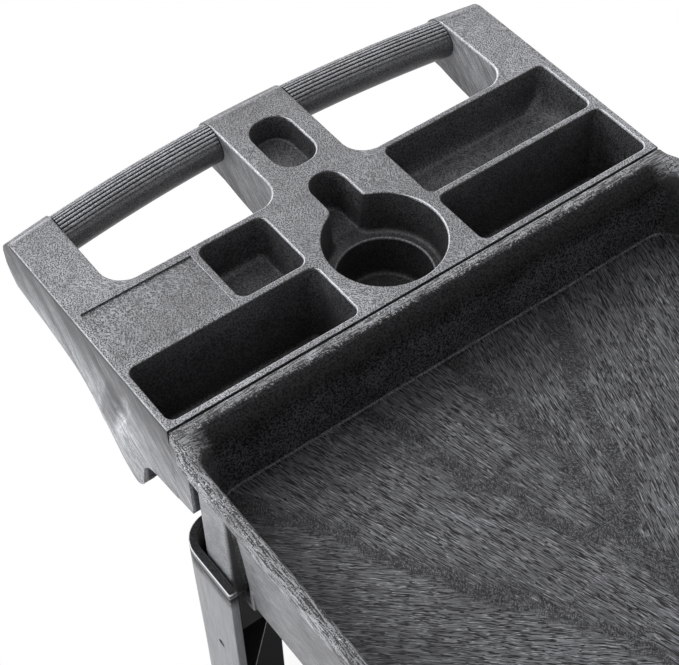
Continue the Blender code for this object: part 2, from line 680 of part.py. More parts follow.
def shelf(name, top, skirt, x0, step, bottom_of_post, socketed):
    """A tray with rim, lip, skirts, corner posts and ribs."""
    x1 = SHELF_X1
    half = CART_WIDTH / 2
    e = EDGE
    o = ROLL_START
    c = TRAY_CORNER
    lip = top - LIP_HEIGHT
    rings = [
        rim_ring(x0 + e, x1 - e, half - e - 0.001, c - e, top, step),
        rim_ring(x0 + o, x1 - o, half - o - 0.001, c - o, top - o, step),
        rim_ring(x0, x1, half - 0.001, c, top - e, step),
        rim_ring(x0, x1, half, c, lip + 0.001, step),
        rim_ring(x0 + 0.001, x1 - 0.001, half - 0.001, c - 0.001, lip, step),
    ]
    low = top - skirt
    side = half - SIDE_SETBACK
    end0 = SEAM_X + END_SETBACK
    end1 = SHELF_X1 - END_SETBACK
    s = SKIRT_SLOPE
    rings.append(rounded(end0, end1, -side, side, 0.010, lip, 5))
    rings.append(rounded(end0 + s, end1 - s, -side + s, side - s, 0.010, low, 5))
    body = solid(name, loft(rings))
    w = WALL
    slope = s * (TRAY_DEPTH + FLOOR_THICKNESS - LIP_HEIGHT) / (skirt - LIP_HEIGHT) + w
    under = top - TRAY_DEPTH - FLOOR_THICKNESS
    cut(body, solid(name + "_underside", loft([
        rounded(end0 + s + w, end1 - s - w, -side + s + w, side - s - w, 0.008, low - 0.001, 2),
        rounded(end0 + slope, end1 - slope, -side + slope, side - slope, 0.008, under, 2)])))
    posts = [post(sx, sy, top - bottom_of_post, lip + 0.001) for _, sx, sy in corners()]
    add(body, solid(name + "_posts", *posts))
    rib_low = under - RIB_HEIGHT
    for k, share in enumerate((0.27, 0.5, 0.73)):
        x = end0 + (end1 - end0) * share
        add(body, solid(f"{name}_rib_across_{k}", block(
            x - RIB / 2, x + RIB / 2, -side + slope - 0.003, side - slope + 0.003,
            rib_low, under + 0.002, 0.0005)))
    for k, share in enumerate((-0.36, 0.36)):
        y = side * share
        add(body, solid(f"{name}_rib_along_{k}", block(
            end0 + slope - 0.003, end1 - slope + 0.003, y - RIB / 2, y + RIB / 2,
            rib_low + 0.002, under + 0.0015, 0.0005)))
    if not socketed:
        add(body, solid(name + "_pads", *(block(
            x - PAD_X / 2, x + PAD_X / 2, y - PAD_Y / 2, y + PAD_Y / 2, CASTER_HEIGHT + GAP, under + 0.001, 0.006, 2)
            for x, y in caster_spots())))
    cut(body, solid(name + "_room", tray_room(x0 - SEAM_GAP / 2 if step > 0 else x0, x1, half, top)))
    bore = SCREW_RADIUS + 2 * GAP
    if socketed:
        size = TENON / 2 + GAP
        cut(body, solid(name + "_sockets", *(corner_block(
            sx, sy, size, size, low - 0.001, top - TENON_DROP + GAP) for _, sx, sy in corners())))
        reach = SIDE_SETBACK + POST_Y
        cx = tenon_centre()[0]
        holes = []
        for _, sx, sy in corners():
            p = at_corner(sx, sy, cx, reach, TOP - UPPER_SCREW_DROP)
            holes.append(turned(p, "Y", [(bore, -sy * 0.003), (bore, sy * 0.012)], 8))
        cut(body, solid(name + "_screw_holes", *holes))
        bore = CONSOLE_SCREW_RADIUS + GAP
        holes = [turned((SEAM_X, k * CONSOLE_SCREW_Y, TOP - CONSOLE_SCREW_DROP), "X",
                        [(bore, END_SETBACK - 0.0058), (bore, END_SETBACK + 0.006)], 8) for k in (-1, 1)]
        cut(body, solid(name + "_console_holes", *holes))
    else:
        notches = [leg_notch(sx, sy, low - 0.001, top + 0.003) for _, sx, sy in corners()]
        cut(body, solid(name + "_leg_notches", *notches))
        holes = []
        for _, sx, sy in corners():
            p = at_corner(sx, sy, tenon_centre()[0], SIDE_SETBACK, CASTER_HEIGHT + LOWER_SCREW_RISE)
            holes.append(turned(p, "Y", [(bore, sy * 0.003), (bore, -sy * 0.022)], 8))
        cut(body, solid(name + "_leg_holes", *holes))
        bore = BOLT_RADIUS + 2 * GAP
        holes = [turned((x + i * HOLES_X / 2, y + j * HOLES_Y / 2, CASTER_HEIGHT), "Z",
                        [(bore, -0.002), (bore, BOLT_REACH - 0.0015)], 8)
                 for x, y in caster_spots() for i in (-1, 1) for j in (-1, 1)]
        cut(body, solid(name + "_caster_holes", *holes))
    return charcoal(body)


# Legs

def leg_section(sx, sy, z, lean, shrink=0.0):
    """L-shaped ring of a leg; shrink pulls it in all round for a chamfer."""
    w = LEG_WALL
    r = LEG_RADIUS
    x0 = lean + shrink
    ring = [(LEG_X - shrink, shrink)]
    for k in range(5):
        a = math.radians(90 * k / 4)
        ring.append((lean + r - (r - shrink) * math.sin(a), r - (r - shrink) * math.cos(a)))
    ring.append((x0, LEG_Y - shrink))
    ring.append((lean + w - shrink, LEG_Y - shrink))
    for k in range(5):
        a = math.radians(90 - 90 * k / 4)
        inner = r - w + shrink
        ring.append((lean + r - inner * math.sin(a), r - inner * math.cos(a)))
    ring.append((LEG_X - shrink, w - shrink))
    return [at_corner(sx, sy, dx, dy, z) for dx, dy in ring]


def leg_notch(sx, sy, z0, z1):
    """Cutter that lets a leg pass the lower tray's rim."""
    c = 0.0004
    out = NOTCH_OUT
    inner = LEG_WALL + c
    lean = LEG_LEAN + inner
    r = LEG_RADIUS - inner
    ring = [(LEG_X + c, -out), (-out, -out), (-out, LEG_Y + c), (lean, LEG_Y + c)]
    for k in range(5):
        a = math.radians(90 - 90 * k / 4)
        ring.append((lean + r - r * math.sin(a), inner + r - r * math.cos(a)))
    ring.append((LEG_X + c, inner))
    return loft([[at_corner(sx, sy, dx, dy, z) for dx, dy in ring] for z in (z0, z1)])


def leg(name, sx, sy):
    """Corner leg: L-shaped shell, tenon for the upper tray, webs and gussets."""
    top = TOP - LEG_TOP
    bottom = LOWER_TRAY_TOP - LOWER_SKIRT
    knee = TOP - LEG_LEAN_END
    body = solid(name, loft([
        leg_section(sx, sy, top, 0.0, 0.0012), leg_section(sx, sy, top - 0.0012, 0.0),
        leg_section(sx, sy, knee, LEG_LEAN), leg_section(sx, sy, bottom, LEG_LEAN)]))
    size = TENON / 2
    cx, cy = tenon_centre()
    web_top = TOP - UPPER_SKIRT - 0.001
    tenon_end = web_top - 0.052
    add(body, solid(name + "_tenon", corner_block(sx, sy, size, size, tenon_end, TOP - TENON_DROP - GAP)))
    p = at_corner(sx, sy, cx, LEG_WALL - 0.002, 0)
    q = at_corner(sx, sy, cx, cy, 0)
    add(body, solid(name + "_web_a", block(
        p.x - 0.002, p.x + 0.002, min(p.y, q.y), max(p.y, q.y), tenon_end + 0.003, web_top, 0.0005)))
    p = at_corner(sx, sy, LEG_WALL - 0.001, cy, 0)
    add(body, solid(name + "_web_b", block(
        min(p.x, q.x), max(p.x, q.x), p.y - 0.002, p.y + 0.002, tenon_end + 0.004, web_top - 0.001, 0.0005)))
    gussets = []
    upper = tenon_end - 0.06
    lower = LOWER_TRAY_TOP + 0.05
    for k in range(3):
        z = upper + (lower - upper) * k / 2
        r = LEG_RADIUS
        bend = r - LEG_WALL / 2
        outline = [(LEG_LEAN + r - bend * math.cos(math.radians(a)), r - bend * math.sin(math.radians(a)))
                   for a in GUSSET_ANGLES]
        outline += [(LEG_X - 0.006, LEG_WALL - 0.003), (LEG_X - 0.006, LEG_WALL + 0.006),
                    (LEG_WALL + 0.010, LEG_Y - 0.010), (LEG_LEAN + LEG_WALL - 0.003, LEG_Y - 0.010)]
        gussets.append(loft([[at_corner(sx, sy, dx, dy, z + dz) for dx, dy in outline]
                             for dz in (0.0, GUSSET)]))
    add(body, solid(name + "_gussets", *gussets))
    p = at_corner(sx, sy, LEG_HOLE_X, 0.0, TOP - LEG_HOLE_DROP)
    lower_screw = at_corner(sx, sy, cx, 0.0, CASTER_HEIGHT + LOWER_SCREW_RISE)
    bore = SCREW_RADIUS + 2 * GAP
    inside = -sy * (LEG_WALL + 0.001)
    cut(body, solid(name + "_holes",
        turned(p, "Y", [(LEG_HOLE_RADIUS, sy * 0.002), (LEG_HOLE_RADIUS, inside)], 12),
        turned(lower_screw, "Y", [
            (SCREW_HEAD + GAP, sy * 0.002), (SCREW_HEAD + GAP, -sy * SCREW_SINK),
            (bore, -sy * SCREW_SINK), (bore, inside)], 8)))
    p = at_corner(sx, sy, cx, cy + size, TOP - UPPER_SCREW_DROP)
    cut(body, solid(name + "_tenon_hole", turned(p, "Y", [(bore, -sy * 0.002), (bore, sy * 0.012)], 8)))
    return charcoal(body)


def screws():
    """Screws of the legs and of the console."""
    out = []
    for name, sx, sy in corners():
        cx = tenon_centre()[0]
        p = at_corner(sx, sy, cx, SIDE_SETBACK + POST_Y + GAP, TOP - UPPER_SCREW_DROP)
        out.append(solid("leg_screw_upper_" + name, pan_screw(p, "Y", sy, 0.016)))
        p = at_corner(sx, sy, cx, SCREW_SINK - GAP, CASTER_HEIGHT + LOWER_SCREW_RISE)
        out.append(solid("leg_screw_lower_" + name, pan_screw(p, "Y", -sy, 0.024)))
    for name, side in (("left", -1), ("right", 1)):
        p = (SEAM_X - BIN_MARGIN - 4 * GAP, side * CONSOLE_SCREW_Y, TOP - CONSOLE_SCREW_DROP)
        out.append(solid("console_screw_" + name, pan_screw(
            p, "X", 1, 0.030, CONSOLE_SCREW_RADIUS, CONSOLE_SCREW_HEAD)))
    return [zinc(item) for item in out]


# Casters

def caster_spots():
    """Centres of the caster plates: rear left, rear right, front left, front right."""
    rear = SEAM_X + CASTER_END
    front = SHELF_X1 - CASTER_END
    y = CART_WIDTH / 2 - CASTER_INSET
    return (rear, -y), (rear, y), (front, -y), (front, y)


def plate_holes(name, x, y):
    bore = BOLT_RADIUS + 2 * GAP
    return solid(name, *(turned((x + i * HOLES_X / 2, y + j * HOLES_Y / 2, CASTER_HEIGHT), "Z",
                                [(bore, -PLATE - 0.002), (bore, 0.002)], 8)
                         for i in (-1, 1) for j in (-1, 1)))


def fork_leg(x, axle_x, y0, y1, half_top, z_top):
    """Side plate of a fork, rounded round the axle."""
    eye = FORK_EYE
    outline = [(x + half_top, z_top), (x - half_top, z_top)]
    start = math.atan2(z_top - WHEEL_RADIUS, x - half_top - axle_x) + math.radians(62)
    stop = math.atan2(z_top - WHEEL_RADIUS, x + half_top - axle_x) - math.radians(62) + 2 * math.pi
    for k in range(7):
        a = start + (stop - start) * k / 6
        outline.append((axle_x + eye * math.cos(a), WHEEL_RADIUS + eye * math.sin(a)))
    return loft([[Vector((px, y, pz)) for px, pz in outline] for y in (y0, y1)])


def wheel(name, x, y):
    """Hub and tyre, turning about their common axis."""
    hub_half = FORK_INSIDE - 0.0008
    rim_r = WHEEL_RADIUS - TYRE
    half = TREAD / 2
    bore = AXLE_RADIUS + GAP
    centre = (x, y, WHEEL_RADIUS)
    section = [(bore, hub_half), (HUB_RADIUS, hub_half), (HUB_RADIUS + 0.0015, 0.005),
               (rim_r - 0.006, 0.004), (rim_r - 0.004, half - 0.002), (rim_r, half - 0.002)]
    section = [(r, -along) for r, along in section] + section[::-1]
    hub = solid(name + "_hub", ringed((0, 0, 0), "Y", section, 16))
    tyre = solid(name + "_tyre", ringed((0, 0, 0), "Y", [
        (rim_r + 3 * GAP, -half + 0.001), (WHEEL_RADIUS - 0.005, -half), (WHEEL_RADIUS, -half + 0.007),
        (WHEEL_RADIUS, half - 0.007), (WHEEL_RADIUS - 0.005, half), (rim_r + 3 * GAP, half - 0.001)], 24))
    hub.location = centre
    tyre.location = centre
    paint(hub, (0.25, 0.25, 0.26), 0.5)
    rubber(tyre)


def axle(name, x, y):
    """Axle bolt through fork and hub, with its nut."""
    outside = FORK_INSIDE + FORK_PLATE + GAP
    zinc(solid(name + "_axle_bolt", hex_bolt(
        (x, y - outside, WHEEL_RADIUS), "Y", AXLE_RADIUS, 2 * outside + AXLE_END,
        AXLE_HEAD, AXLE_HEAD_HEIGHT, 12)))
    near = (x, y + outside, WHEEL_RADIUS)
    far = (x, y + outside + NUT_HEIGHT, WHEEL_RADIUS)
    bore = AXLE_RADIUS + GAP
    rings = [hexed(near, AXLE_HEAD, "Y", 12), hexed(far, AXLE_HEAD, "Y", 12),
             circle(far, bore, "Y", 12), circle(near, bore, "Y", 12)]
    zinc(solid(name + "_axle_nut", loft(rings, looped=True)))


def plate_bolts(name, x, y):
    n = 0
    for i in (-1, 1):
        for j in (-1, 1):
            n += 1
            centre = (x + i * HOLES_X / 2, y + j * HOLES_Y / 2, CASTER_HEIGHT - PLATE - GAP)
            zinc(solid(f"{name}_plate_bolt_{n}", hex_bolt(
                centre, "Z", BOLT_RADIUS, BOLT_REACH, BOLT_HEAD, BOLT_HEAD_HEIGHT, 6)))


def swivel_caster(name, x, y):
    h = CASTER_HEIGHT
    plate = solid(name + "_top_plate", block(
        x - PLATE_X / 2, x + PLATE_X / 2, y - PLATE_Y / 2, y + PLATE_Y / 2, h - PLATE, h, 0.008, 3))
    race = h - PLATE - RACE
    add(plate, solid(name + "_race", turned((x, y, 0), "Z", [
        (RACE_RADIUS - 0.003, race), (RACE_RADIUS, race + 0.003), (RACE_RADIUS, h - PLATE + 0.001)], 20)))
    cut(plate, plate_holes(name + "_plate_holes", x, y))
    pin = AXLE_RADIUS
    hole = pin + 2 * GAP
    cut(plate, solid(name + "_plate_bore", turned((x, y, 0), "Z", [
        (hole, race - 0.001), (hole, h + 0.001)], 12)))
    zinc(plate)
    crown = race - GAP
    shoulder = crown - 0.0012
    fork = solid(name + "_fork", ringed((0, 0, 0), "Z", [
        (hole, crown - CROWN), (CROWN_RADIUS, crown - CROWN), (CROWN_RADIUS, shoulder),
        (CROWN_RADIUS - 0.0015, crown), (hole, crown)], 18))
    outside = FORK_INSIDE + FORK_PLATE
    side = solid(name + "_fork_legs",
                 fork_leg(0, -TRAIL, -outside, -FORK_INSIDE, SWIVEL_FORK_HALF, shoulder),
                 fork_leg(0, -TRAIL, FORK_INSIDE, outside, SWIVEL_FORK_HALF, shoulder))
    add(fork, side)
    eye = AXLE_RADIUS + GAP
    bore = solid(name + "_fork_bore", turned((-TRAIL, 0, WHEEL_RADIUS), "Y", [
        (eye, -outside - 0.007), (eye, outside + 0.007)], 12))
    cut(fork, bore)
    for item in (fork, side, bore):
        item.location = (x, y, 0)
    zinc(fork)
    low = crown - CROWN - GAP
    zinc(solid(name + "_kingpin", turned((x, y, 0), "Z", [
        (PIN_HEAD - 0.0015, low - 0.006), (PIN_HEAD, low - 0.005), (PIN_HEAD, low),
        (pin, low), (pin, h - GAP)], 12)))
    wheel(name, x - TRAIL, y)
    axle(name, x - TRAIL, y)
    plate_bolts(name, x, y)


def fixed_caster(name, x, y):
    h = CASTER_HEIGHT
    fork = solid(name + "_fork", block(
        x - PLATE_X / 2, x + PLATE_X / 2, y - PLATE_Y / 2, y + PLATE_Y / 2, h - PLATE, h, 0.008, 3))
    outside = FORK_INSIDE + FORK_PLATE
    under = h - PLATE + 0.001
    add(fork, solid(name + "_fork_legs",
                    fork_leg(x, x, y - outside, y - FORK_INSIDE, FIXED_FORK_HALF, under),
                    fork_leg(x, x, y + FORK_INSIDE, y + outside, FIXED_FORK_HALF, under)))
    eye = AXLE_RADIUS + GAP
    cut(fork, solid(name + "_fork_bore", turned((x, y, WHEEL_RADIUS), "Y", [
        (eye, -outside - 0.007), (eye, outside + 0.007)], 12)))
    cut(fork, plate_holes(name + "_plate_holes", x, y))
    zinc(fork)
    wheel(name, x, y)
    axle(name, x, y)
    plate_bolts(name, x, y)


def build():
    clear_scene()
    console()
    grip("grip_left", -1)
    grip("grip_right", 1)
    shelf("upper_shelf", TOP, UPPER_SKIRT, SHELF_X0, RIM_STEP, UPPER_SKIRT - POST_RISE, True)
    shelf("lower_shelf", LOWER_TRAY_TOP, LOWER_SKIRT, SEAM_X, 0.0, LOWER_SKIRT, False)
    for name, sx, sy in corners():
        leg("leg_" + name, sx, sy)
    screws()
    spots = caster_spots()
    swivel_caster("caster_rear_left", *spots[0])
    swivel_caster("caster_rear_right", *spots[1])
    fixed_caster("caster_front_left", *spots[2])
    fixed_caster("caster_front_right", *spots[3])


build()
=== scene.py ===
"""Looks of the utility cart: finer mouldings, finishes, light, floor and camera.

Metres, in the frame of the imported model. Offsets called dx count from the seam
between console and upper tray, dz from the top plane."""
import math

import bmesh
import bpy
import numpy as np
from mathutils import Matrix, Vector


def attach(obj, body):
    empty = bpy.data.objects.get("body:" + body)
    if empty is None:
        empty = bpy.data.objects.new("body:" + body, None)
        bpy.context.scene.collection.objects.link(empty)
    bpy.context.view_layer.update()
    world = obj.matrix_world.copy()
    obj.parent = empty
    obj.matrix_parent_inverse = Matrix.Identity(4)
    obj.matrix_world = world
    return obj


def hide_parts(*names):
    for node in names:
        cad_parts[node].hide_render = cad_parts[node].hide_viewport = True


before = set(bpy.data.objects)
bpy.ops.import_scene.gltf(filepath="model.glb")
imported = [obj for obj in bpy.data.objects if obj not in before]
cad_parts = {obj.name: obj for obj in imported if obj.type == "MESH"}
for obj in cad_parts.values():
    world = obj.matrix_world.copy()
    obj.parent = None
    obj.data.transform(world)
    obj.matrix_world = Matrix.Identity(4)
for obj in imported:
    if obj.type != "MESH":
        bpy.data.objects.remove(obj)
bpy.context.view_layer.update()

# Sizes repeated from the solids
CART_LENGTH = 0.995
CART_WIDTH = 0.454
TOP = 0.845
GAP = 0.0003
WALL = 0.0045
CONSOLE_DEPTH = 0.248
HALF = 0.22
SEAM_GAP = 0.0014
NOSE_CROWN = 0.0198
NOSE_ROUND = 0.022
TOP_SKIN = 0.005
SIDE_WALL = 0.007
LOBE_FLARE = 0.004
ARM_WIDTH = 0.0387
BRIDGE_WIDTH = 0.0694
OPENING_RADIUS = 0.02
ROW_EDGE = 0.131
TONGUE_LENGTH = 0.02
TONGUE_THICKNESS = 0.007
BIN_MARGIN = 0.0057
DIVIDER = 0.0055
DEEP_BIN_X = 0.0555
DEEP_BIN_DEPTH = 0.074
CENTRE_HALF = 0.0555
ROW_BIN_X = 0.059
ROW_BIN_DEPTH = 0.038
POCKET_Y = 0.058
POCKET_DEPTH = 0.04
LABEL_DEPTH = 0.0012
CUP_RADIUS = 0.0462
CUP_LEDGE_DEPTH = 0.039
WELL_RADIUS = 0.037
WELL_DEPTH = 0.075
CUP_SETBACK = 0.0515
SLOT_WIDTH = 0.03
SLOT_END = 0.135
OVAL_LENGTH = 0.058
OVAL_WIDTH = 0.037
OVAL_DEPTH = 0.023
OVAL_START = 0.151
GRIP_RADIUS = 0.016
GRIP_DROP = GRIP_RADIUS + 0.0005
GRIP_SETBACK = 0.0209
FLUTE_DEPTH = 0.0012
SPIGOT_RADIUS = 0.01
SPIGOT_LENGTH = 0.011
TRAY_DEPTH = 0.056
FLOOR_THICKNESS = 0.005
LIP_HEIGHT = 0.012
RIM_WIDTH = 0.0096
UPPER_SKIRT = 0.136
LOWER_SKIRT = 0.102
END_SETBACK = 0.0208
SKIRT_SLOPE = 0.0082
SKIRT_RADIUS = 0.01
RIM_RADIUS = 0.025
RIM_EDGE = 0.0018
SIDE_SETBACK = 0.0088
RIM_STEP = 0.0065
RIB = 0.0035
RIB_HEIGHT = 0.028
LOWER_TRAY_TOP = 0.262
POST_X = 0.0384
POST_Y = 0.0403
POST_RADIUS = 0.01
POST_RISE = 0.002
TENON = 0.028
TENON_TOP = 0.066
TENON_X = END_SETBACK + POST_X / 2
TENON_Y = SIDE_SETBACK + POST_Y / 2
LEG_TOP = 0.11
LEG_X = 0.069
LEG_Y = 0.072
LEG_WALL = 0.0068
LEG_RADIUS = 0.025
LEG_LEAN = 0.003
LEG_LEAN_END = 0.26
LEG_HOLE_RADIUS = 0.0035
LEG_HOLE_DROP = 0.203
LEG_HOLE_X = 0.0466
LEG_SCREW_DROP = 0.105
FOOT_SCREW_Z = 0.205
SCREW_RADIUS = 0.0025
SCREW_HEAD = 0.0055
SCREW_BORE = SCREW_RADIUS + 2 * GAP
CONSOLE_SCREW_BORE = 0.0018
CONSOLE_SCREW_Y = 0.13
CONSOLE_SCREW_DROP = 0.045
WHEEL_RADIUS = 0.0635
TYRE_HEIGHT = 0.0165
TREAD = 0.032
CASTER_HEIGHT = 0.158
CASTER_END = 0.085
CASTER_Y = 0.14
TRAIL = 0.038
AXLE_RADIUS = 0.006
FORK_INSIDE = 0.0195
PAD_X = 0.108
PAD_Y = 0.092
BOLT_RADIUS = 0.004
HOLES_X = 0.08
HOLES_Y = 0.06

SEAM_X = -CART_LENGTH / 2 + CONSOLE_DEPTH
SHELF_X0 = SEAM_X + SEAM_GAP / 2
SHELF_X1 = CART_LENGTH / 2
SHELF_MID = (SEAM_X + SHELF_X1) / 2
# Rolled edges of the console's recesses and sides, and how far down its cutters reach
EDGE = 0.0012
SIDE_EDGE = 0.0014
BELOW_ALL = 0.2

CORNERS = {"rear_left": (1, -1), "rear_right": (1, 1), "front_left": (-1, -1), "front_right": (-1, 1)}
CASTER_SPOTS = [(x, y) for x in (SEAM_X + CASTER_END, SHELF_X1 - CASTER_END) for y in (-CASTER_Y, CASTER_Y)]

# Tints of a grey, and the direction of the streaks drawn on the console's sides
COOL_TINT = (0.975, 1.0, 1.058)
WARM_TINT = (1.0, 0.995, 0.975)
DRAW_ANGLE = -0.72

# Camera: focal length and width in pixels, angles in degrees, place in console widths from the seam
FOCAL_PIXELS = 1741.8
PICTURE_WIDTH = 679.0
CAMERA_ANGLES = (55.571, 49.869, -2.466)
CAMERA_PLACE = (1.4546, -1.1754, 2.0907)

SIDE_OUTLINE = (
    (0.192, 0.0518), (0.175, 0.054), (0.158, 0.0575), (0.13, 0.0625), (0.111, 0.0705),
    (0.095, 0.083), (0.083, 0.0947), (0.0715, 0.106), (0.062, 0.1125), (0.0555, 0.1152),
    (0.051, 0.115), (0.0488, 0.112), (0.0483, 0.104), (0.0474, 0.095), (0.044, 0.0888),
    (0.0375, 0.0838), (0.029, 0.0812), (0.015, 0.0792), (0.0007, 0.0775),
)
NOSE_OUTLINE = (
    (1.0, 0.0), (0.73, 0.0009), (0.45, 0.0034), (0.18, 0.009), (0.04, 0.015), (0.0, 0.02),
    (0.02, 0.0265), (0.13, 0.0345), (0.52, 0.047),
)


# Mesh tools

def shells_to_object(name, shells):
    """One object from closed shells, faces turned outward."""
    points = []
    faces = []
    for part_points, part_faces in shells:
        start = len(points)
        points.extend(tuple(p) for p in part_points)
        faces.extend(tuple(start + i for i in face) for face in part_faces)
    mesh = bpy.data.meshes.new(name)
    mesh.from_pydata(points, [], faces)
    work = bmesh.new()
    work.from_mesh(mesh)
    bmesh.ops.remove_doubles(work, verts=work.verts, dist=0.000005)
    bent = [f for f in work.faces if len(f.verts) == 4]
    bmesh.ops.triangulate(work, faces=bent)
    bmesh.ops.recalc_face_normals(work, faces=work.faces)
    work.to_mesh(mesh)
    work.free()
    item = bpy.data.objects.new(name, mesh)
    bpy.context.scene.collection.objects.link(item)
    return item


class Steps(list):
    """Steps that shape a solid."""

    def add(self, *shells):
        self.append(("UNION", shells))

    def cut(self, *shells):
        self.append(("DIFFERENCE", shells))


def sculpt(name, base, steps):
    """Solid from a closed shell and its steps."""
    target = shells_to_object(name, [base])
    helpers = []
    for n, (operation, shells) in enumerate(steps):
        helper = shells_to_object(f"{name}_step_{n}", shells)
        mod = target.modifiers.new("step", "BOOLEAN")
        mod.operation = operation
        mod.object = helper
        mod.solver = "MANIFOLD"
        helpers.append(helper)
    bpy.context.view_layer.update()
    graph = bpy.context.evaluated_depsgraph_get()
    mesh = bpy.data.meshes.new_from_object(target.evaluated_get(graph))
    mesh.name = name
    target.modifiers.clear()
    target.data = mesh
    for helper in helpers:
        bpy.data.objects.remove(helper, do_unlink=True)
    return smooth(target, 32)


def smooth(item, angle):
    """Smooth shading that keeps flat faces flat and sharp edges sharp."""
    item.data.shade_smooth()
    item.data.set_sharp_from_angle(angle=math.radians(angle))
    mod = item.modifiers.new("normals", "WEIGHTED_NORMAL")
    mod.keep_sharp = True
    mod.weight = 60
    return item


def loft(rings, looped=False):
    """Shell through rings of equal length, capped at both ends or looped."""
    count = len(rings[0])
    points = [p for ring in rings for p in ring]
    faces = []
    for r in range(len(rings) if looped else len(rings) - 1):
        a = r * count
        b = (r + 1) % len(rings) * count
        for i in range(count):
            j = (i + 1) % count
            faces.append((a + i, a + j, b + j, b + i))
    if not looped:
        faces.append(tuple(range(count)))
        last = (len(rings) - 1) * count
        faces.append(tuple(range(last, last + count)))
    return points, faces


def rounded(x0, x1, y0, y1, radius, z, steps=10):
    """Level ring of a rectangle with rounded corners."""
    ring = []
    for sx, sy, start in ((1, -1, -90), (1, 1, 0), (-1, 1, 90), (-1, -1, 180)):
        cx = (x1 if sx > 0 else x0) - sx * radius
        cy = (y1 if sy > 0 else y0) - sy * radius
        for k in range(steps + 1):
            angle = math.radians(start + 90 * k / steps)
            ring.append(Vector((cx + radius * math.cos(angle), cy + radius * math.sin(angle), z)))
    return ring


def inset(box, by, radius, z, steps=10):
    """Level ring of a box (x0, x1, y0, y1) pulled in all round."""
    x0, x1, y0, y1 = box
    return rounded(x0 + by, x1 - by, y0 + by, y1 - by, radius, z, steps)


def block(x0, x1, y0, y1, z0, z1, radius=0.001, steps=3):
    """Upright block with rounded corners."""
    return loft([rounded(x0, x1, y0, y1, radius, z, steps) for z in (z0, z1)])


def turned(centre, axis, stations, segments=32, looped=False):
    """Round body from stations of radius and distance along the axis."""
    rings = []
    for radius, along in stations:
        ring = []
        for k in range(segments):
            angle = 2 * math.pi * k / segments
            u = radius * math.cos(angle)
            v = radius * math.sin(angle)
            offset = {"X": (along, u, v), "Y": (u, along, v), "Z": (u, v, along)}[axis]
            ring.append(Vector(centre) + Vector(offset))
        rings.append(ring)
    return loft(rings, looped)


def bore(centre, axis, radius, start, stop, segments=16):
    """Cutter of a round hole between two distances along its axis."""
    return turned(centre, axis, [(radius, start), (radius, stop)], segments)


def between(t, t0, t1, a, b):
    """Point at t on the line that meets a at t0 and b at t1."""
    return (t1 - t) / (t1 - t0) * a + (t - t0) / (t1 - t0) * b


def smooth_line(points, count):
    """Evenly spaced points on a smooth curve through the given ones."""
    p = np.array(points, float)
    p = np.vstack([2 * p[0] - p[1], p, 2 * p[-1] - p[-2]])
    fine = []
    for i in range(1, len(p) - 2):
        knots = [0.0]
        for a, b in zip(p[i - 1:i + 2], p[i:i + 3]):
            knots.append(knots[-1] + max(np.linalg.norm(b - a), 1e-9) ** 0.5)
        for t in np.linspace(knots[1], knots[2], 16, endpoint=False):
            a = [between(t, knots[j], knots[j + 1], p[i + j - 1], p[i + j]) for j in range(3)]
            b = [between(t, knots[j], knots[j + 2], a[j], a[j + 1]) for j in range(2)]
            fine.append(between(t, knots[1], knots[2], b[0], b[1]))
    fine.append(p[-2])
    fine = np.array(fine)
    along = np.concatenate([[0.0], np.cumsum(np.linalg.norm(np.diff(fine, axis=0), axis=1))])
    wanted = np.linspace(0.0, along[-1], count)
    return [tuple(float(np.interp(w, along, fine[:, k])) for k in range(fine.shape[1])) for w in wanted]


def rolled(out):
    """Offsets outward and up of a rounded upper edge of a recess."""
    angles = [math.radians(a) for a in (0, 20, 40, 60, 76)]
    roll = [(out * (1 - math.cos(a)), -out * (1 - math.sin(a))) for a in angles]
    return roll + [(out * 1.9, out * 0.14)]


# Console

NOSE_POINTS = smooth_line(NOSE_OUTLINE, 24)


def nose_x(y):
    """Foremost line of the console, bowed towards the middle."""
    return SEAM_X - CONSOLE_DEPTH + NOSE_CROWN * (y / HALF) ** 2


def flare(dx, dz):
    """Outward swell of a side lobe, a slanting ridge that fades upward."""
    ridge = -0.0998 - 0.36 * dz
    rise = min(max((-dz - 0.008) / 0.07, 0.0), 1.0)
    width = 0.05 if dx < ridge else 0.014
    return LOBE_FLARE * rise * rise * (3 - 2 * rise) * math.exp(-((dx - ridge) / width) ** 2)


def hollow(dx, dz):
    """Shallow valley and crease beside the lobe."""
    line = -0.06 + 0.28 * (dz + 0.03)
    reach = math.exp(-((dz + 0.046) / 0.026) ** 2)
    away = dx - line
    width = 0.0075 if away < 0 else 0.004
    valley = 0.0019 * reach * math.exp(-(away / width) ** 2)
    crease = 0.0007 * math.exp(-((dz + 0.066) / 0.022) ** 2) * math.exp(-((dx + 0.097) / 0.0022) ** 2)
    return crease - valley


def console_columns(y, lower, low_line):
    """Columns of points of one section of the console, nose to seam."""
    front = nose_x(y)
    rows = len(NOSE_POINTS)
    columns = [[Vector((front + share * NOSE_ROUND, y, TOP - max(drop, lower))) for share, drop in NOSE_POINTS]]
    first = front + NOSE_ROUND
    last = SEAM_X - SEAM_GAP / 2
    total = len(low_line)
    for n, (back, drop) in enumerate(low_line):
        top = Vector((first + (last - first) * (n + 1) / total, y, TOP - lower))
        low = Vector((min(SEAM_X - back, last), y, TOP - drop))
        columns.append([top.lerp(low, k / (rows - 1)) for k in range(rows)])
    return columns


